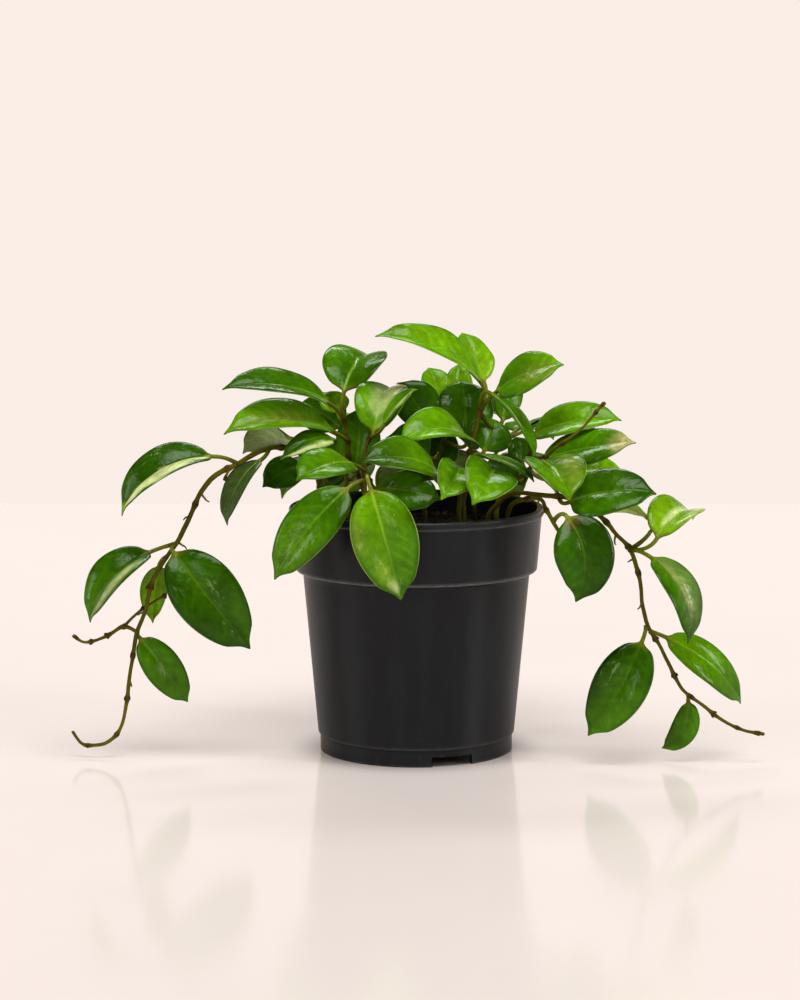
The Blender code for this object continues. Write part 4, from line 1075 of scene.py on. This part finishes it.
def pot_profile():
    lip = [(RIM_RADIUS - RIM_BEAD + RIM_BEAD * math.cos(turn),
            POT_HEIGHT - RIM_BEAD + RIM_BEAD * math.sin(turn))
           for turn in np.linspace(math.pi, 0, LIP_STEPS + 1)]
    inner_skirt = SKIRT_RADIUS - SKIRT_WALL
    inside = rounded(cavity(0.0), {1: 2 * MM, 2: 2 * MM, 5: 1 * MM, 6: 0.8 * MM, 7: 1 * MM})
    outside = [
        (RIM_RADIUS, COLLAR_TOP + 1.4 * MM),
        (RIM_RADIUS, COLLAR_TOP + 0.1 * MM),
        (COLLAR_TOP_RADIUS, COLLAR_TOP - 0.2 * MM),
        (COLLAR_FOOT_RADIUS, COLLAR_FOOT - 0.3 * MM),
        (BODY_TOP_RADIUS + 0.2 * MM, BODY_TOP - 0.1 * MM),
        (BODY_TOP_RADIUS - 0.1 * MM, BODY_TOP - 1.4 * MM),
        (BODY_FOOT_RADIUS, BODY_FOOT + 0.1 * MM),
        (SKIRT_RADIUS, BODY_FOOT - 0.6 * MM),
        (SKIRT_RADIUS, 0.0),
        (inner_skirt, 0.0),
        (inner_skirt, FLOOR_UNDER),
        (DISH_RIM_RADIUS, FLOOR_UNDER),
        (DISH_RADIUS, 0.0),
        (0.0, 0.0),
    ]
    corners = {1: 0.4 * MM, 2: 0.5 * MM, 3: 0.8 * MM, 4: 1.0 * MM, 6: 0.6 * MM, 7: 0.5 * MM,
               8: 0.5 * MM, 9: 0.4 * MM, 11: 1.5 * MM, 12: 1.5 * MM}
    return inside + lip + edge_loops(rounded(outside, corners))


def around(steps):
    """The cosine and the sine of even steps round the axis."""
    turns = [math.tau * i / steps for i in range(steps)]
    return [(math.cos(turn), math.sin(turn)) for turn in turns]


def turned_body(name, top, bottom, columns, material=None):
    """A closed body from columns of points that run from the top point to the bottom one."""
    bm = bmesh.new()
    first = bm.verts.new((0, 0, top))
    last = bm.verts.new((0, 0, bottom))
    columns = [[bm.verts.new(point) for point in column] for column in columns]
    for here, there in zip(columns, columns[1:] + columns[:1]):
        bm.faces.new((first, here[0], there[0]))
        for j in range(len(here) - 1):
            bm.faces.new((here[j], here[j + 1], there[j + 1], there[j]))
        bm.faces.new((here[-1], last, there[-1]))
    bmesh.ops.recalc_face_normals(bm, faces=bm.faces)
    return add_bmesh(name, bm, material)


def cut_out(piece, cutters):
    """Cuts the cutters out of a piece for good, and removes them."""
    for cutter in cutters:
        boolean = piece.modifiers.new(cutter.name, "BOOLEAN")
        boolean.operation = "DIFFERENCE"
        boolean.object = cutter
    depsgraph = bpy.context.evaluated_depsgraph_get()
    mesh = bpy.data.meshes.new_from_object(piece.evaluated_get(depsgraph))
    piece.modifiers.clear()
    piece.data = mesh
    for cutter in cutters:
        bpy.data.objects.remove(cutter)


def pot_cutters():
    cutters = []
    for i in range(6):
        angle = DRAIN_FIRST + math.tau * i / 6
        place = (DRAIN_RING * math.cos(angle), DRAIN_RING * math.sin(angle), FLOOR_UNDER)
        bpy.ops.mesh.primitive_cylinder_add(vertices=40, radius=DRAIN_RADIUS,
                                            depth=4 * FLOOR_WALL, location=place)
        cutters.append(bpy.context.active_object)
    for i in range(3):
        angle = NOTCH_FIRST + math.tau * i / 3
        middle = SKIRT_RADIUS - SKIRT_WALL / 2
        place = (middle * math.cos(angle), middle * math.sin(angle), 0.0)
        bpy.ops.mesh.primitive_cube_add(size=1.0, location=place, rotation=(0, 0, angle))
        notch = bpy.context.active_object
        notch.scale = (6 * SKIRT_WALL, NOTCH_WIDTH, 2 * NOTCH_HEIGHT)
        bpy.ops.object.transform_apply(location=False, rotation=False, scale=True)
        bevel = notch.modifiers.new("round", "BEVEL")
        bevel.width = 0.5 * MM
        bevel.segments = 3
        cutters.append(notch)
    return cutters


# paler edges, partly worn and partly a painted highlight: radius, height, reach and strength
WORN_AND_HIGHLIT_EDGES = (
    (RIM_RADIUS, COLLAR_TOP, 0.6 * MM, 0.7),
    (COLLAR_FOOT_RADIUS, COLLAR_FOOT - 0.2 * MM, 0.8 * MM, 1.0),
    (BODY_FOOT_RADIUS, BODY_FOOT, 0.6 * MM, 0.5),
    (RIM_RADIUS - RIM_BEAD, POT_HEIGHT, 1.2 * MM, 0.35),
    (SKIRT_RADIUS, 0.0, 0.7 * MM, 0.4),
)


def make_pot():
    profile = pot_profile()
    columns = [[(r * c, r * s, z) for r, z in profile[1:-1]] for c, s in around(POT_STEPS)]
    piece = turned_body("nursery_pot", profile[0][1], profile[-1][1], columns)
    cut_out(piece, pot_cutters())
    mesh = piece.data
    wear = mesh.attributes.new("wear", "FLOAT", "POINT")
    for vertex in mesh.vertices:
        radius = math.hypot(vertex.co.x, vertex.co.y)
        value = 0.0
        for edge_radius, edge_height, reach, strength in WORN_AND_HIGHLIT_EDGES:
            away = math.hypot(radius - edge_radius, vertex.co.z - edge_height) / reach
            value = max(value, strength * math.exp(-away * away))
        wear.data[vertex.index].value = value
    mesh.materials.clear()
    mesh.materials.append(pot_material())
    mesh.shade_smooth()
    mesh.set_sharp_from_angle(angle=math.radians(40))
    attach(piece, BODY)
    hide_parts("pot")


def soil_height(x, y):
    """Height of the mix's lumpy top, in metres."""
    radius = math.hypot(x, y) / (COLLAR_TOP_RADIUS - POT_WALL)
    base = SOIL_EDGE + (SOIL_CROWN - SOIL_EDGE) * (1 - radius * radius)
    place = Vector((x, y, 0.0))
    lumps = noise.noise(place * 170) * 1.3 + noise.noise(place * 420) * 0.7
    crumbs = noise.cell(place * 900) * 0.45
    return base + (lumps + crumbs - 0.3) * MM


def make_soil():
    """The mix: its side follows the pot's inside, and its top is crumbly."""
    edge_height = SOIL_EDGE - 1 * MM
    inside = cavity(GAP)
    side = [point for point in inside if point[1] < edge_height]
    low, top = side[-1], inside[-1]
    share = (edge_height - low[1]) / (top[1] - low[1])
    edge_radius = low[0] + share * (top[0] - low[0])
    radii = [edge_radius * (j / SOIL_RINGS) ** 0.85 for j in range(1, SOIL_RINGS + 1)]
    columns = []
    for c, s in around(SOIL_STEPS):
        column = [(r * c, r * s, soil_height(r * c, r * s)) for r in radii]
        columns.append(column + [(r * c, r * s, z) for r, z in side[:0:-1]])
    look = soil_material("peat_mix", srgb(30, 22, 17), srgb(62, 45, 32))
    piece = turned_body("potting_mix_body", soil_height(0, 0), side[0][1], columns, look)
    piece.data.shade_smooth()
    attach(piece, BODY)
    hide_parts("potting_mix")


def add_chip(bm, draw, place, size):
    """An irregular bark chip: a squashed, knocked-about small solid."""
    made = bmesh.ops.create_icosphere(bm, subdivisions=1, radius=1.0)
    turn = Vector((draw.uniform(-1, 1), draw.uniform(-1, 1), draw.uniform(-1, 1))).to_track_quat()
    stretch = Vector((draw.uniform(0.8, 1.5), draw.uniform(0.6, 1.0), draw.uniform(0.3, 0.6)))
    for vertex in made["verts"]:
        point = vertex.co * draw.uniform(0.75, 1.15)
        point = Vector((point.x * stretch.x, point.y * stretch.y, point.z * stretch.z)) * size
        vertex.co = Vector(place) + turn @ point


def make_chips():
    """Loose bark chips and crumbs that lie half sunk in the top of the mix."""
    draw = random.Random(41)
    bm = bmesh.new()
    reach = COLLAR_TOP_RADIUS - POT_WALL - 2.4 * MM
    feet = [vine.foot[0] for vine in VINES]
    placed = 0
    while placed < CHIP_COUNT:
        radius = reach * math.sqrt(draw.random())
        angle = draw.uniform(0, math.tau)
        x, y = radius * math.cos(angle), radius * math.sin(angle)
        size = draw.choice((0.7, 0.9, 1.2, 1.6, 2.2)) * MM
        if any(math.hypot(x - f[0] * MM, y - f[1] * MM) < 2.2 * MM + size for f in feet):
            continue
        if radius + size * 1.4 > reach + 1.6 * MM:
            continue
        add_chip(bm, draw, (x, y, soil_height(x, y) + size * 0.12), size)
        placed += 1
    look = soil_material("bark_chip", srgb(48, 32, 22), srgb(88, 62, 42))
    piece = add_bmesh("bark_chips", bm, look)
    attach(piece, BODY)


def make_stage():
    """A plain pale floor, square with round corners, which ends where the photo's does."""
    corners = []
    straight = FLOOR_HALF - FLOOR_CORNER
    for k in range(FLOOR_STEPS):
        turn = math.tau * (k + 0.5) / FLOOR_STEPS
        x, y = math.cos(turn), math.sin(turn)
        corners.append((math.copysign(straight, x) + FLOOR_CORNER * x,
                        math.copysign(straight, y) + FLOOR_CORNER * y))
    bm = bmesh.new()
    rings = [[bm.verts.new((x * k, y * k, z)) for x, y in corners]
             for k, z in ((1.0, -FLOOR_DEPTH), (1.0, -0.004), (0.996, 0.0))]
    for low, high in zip(rings, rings[1:]):
        for j in range(FLOOR_STEPS):
            k = (j + 1) % FLOOR_STEPS
            bm.faces.new((low[j], low[k], high[k], high[j]))
    bm.faces.new(rings[-1])
    bm.faces.new(rings[0][::-1])
    add_bmesh("pale_floor", bm, floor_material())


def area_light(name, place, size, energy):
    light = bpy.data.lights.new(name, "AREA")
    light.shape = "RECTANGLE"
    light.size, light.size_y = size
    light.energy = energy
    lamp = add_object(name, light)
    lamp.location = place
    lamp.rotation_euler = (Vector(LIGHT_AIM) - Vector(place)).to_track_quat("-Z", "Y").to_euler()
    lamp.visible_camera = False


def make_lights():
    area_light("back_top", (-0.15, 1.30, 1.75), (1.4, 0.4), 13.0)
    area_light("front_top", (0.15, -0.80, 2.20), (1.3, 1.0), 30.0)
    area_light("front_low", (-0.80, -1.9, 0.85), (0.3, 0.5), 2.2)
    area_light("left_window", (-2.1, -0.75, 1.05), (0.3, 1.2), 8.5)
    area_light("right_window", (2.0, -0.76, 1.00), (0.3, 1.2), 15.0)


def make_world():
    """A pale room: bright round the floor's edge, much dimmer overhead."""
    n = Nodes("pale_room", bpy.data.worlds)
    up = n.separate(n.add("TexCoord").outputs["Generated"])[2]
    background = n.tree.nodes["Background"].inputs
    n.plug(background["Color"], (0.80, 0.72, 0.68))
    n.plug(background["Strength"], n.span(up, 0.08, 0.45, 1.0, 0.10))
    bpy.context.scene.world = n.owner


def make_camera():
    camera = bpy.data.cameras.new("photo_camera")
    camera.lens = FOCAL_LENGTH
    camera.sensor_width = SENSOR
    camera.clip_end = 20.0
    eye = add_object("photo_camera", camera)
    eye.location = CAMERA_PLACE
    eye.rotation_euler = (CAMERA_PITCH, 0.0, 0.0)
    bpy.context.scene.camera = eye


BODY = next(iter(frame["bodies"]))

make_camera()
make_stage()
make_lights()
make_world()
make_pot()
make_soil()
make_chips()
leaf_look, stem_look = leaf_material(), stem_material()
for number, vine in enumerate(VINES):
    make_vine(vine, number, leaf_look, stem_look)

bpy.context.scene.view_settings.view_transform = "Standard"
bpy.context.scene.view_settings.look = "Medium High Contrast"
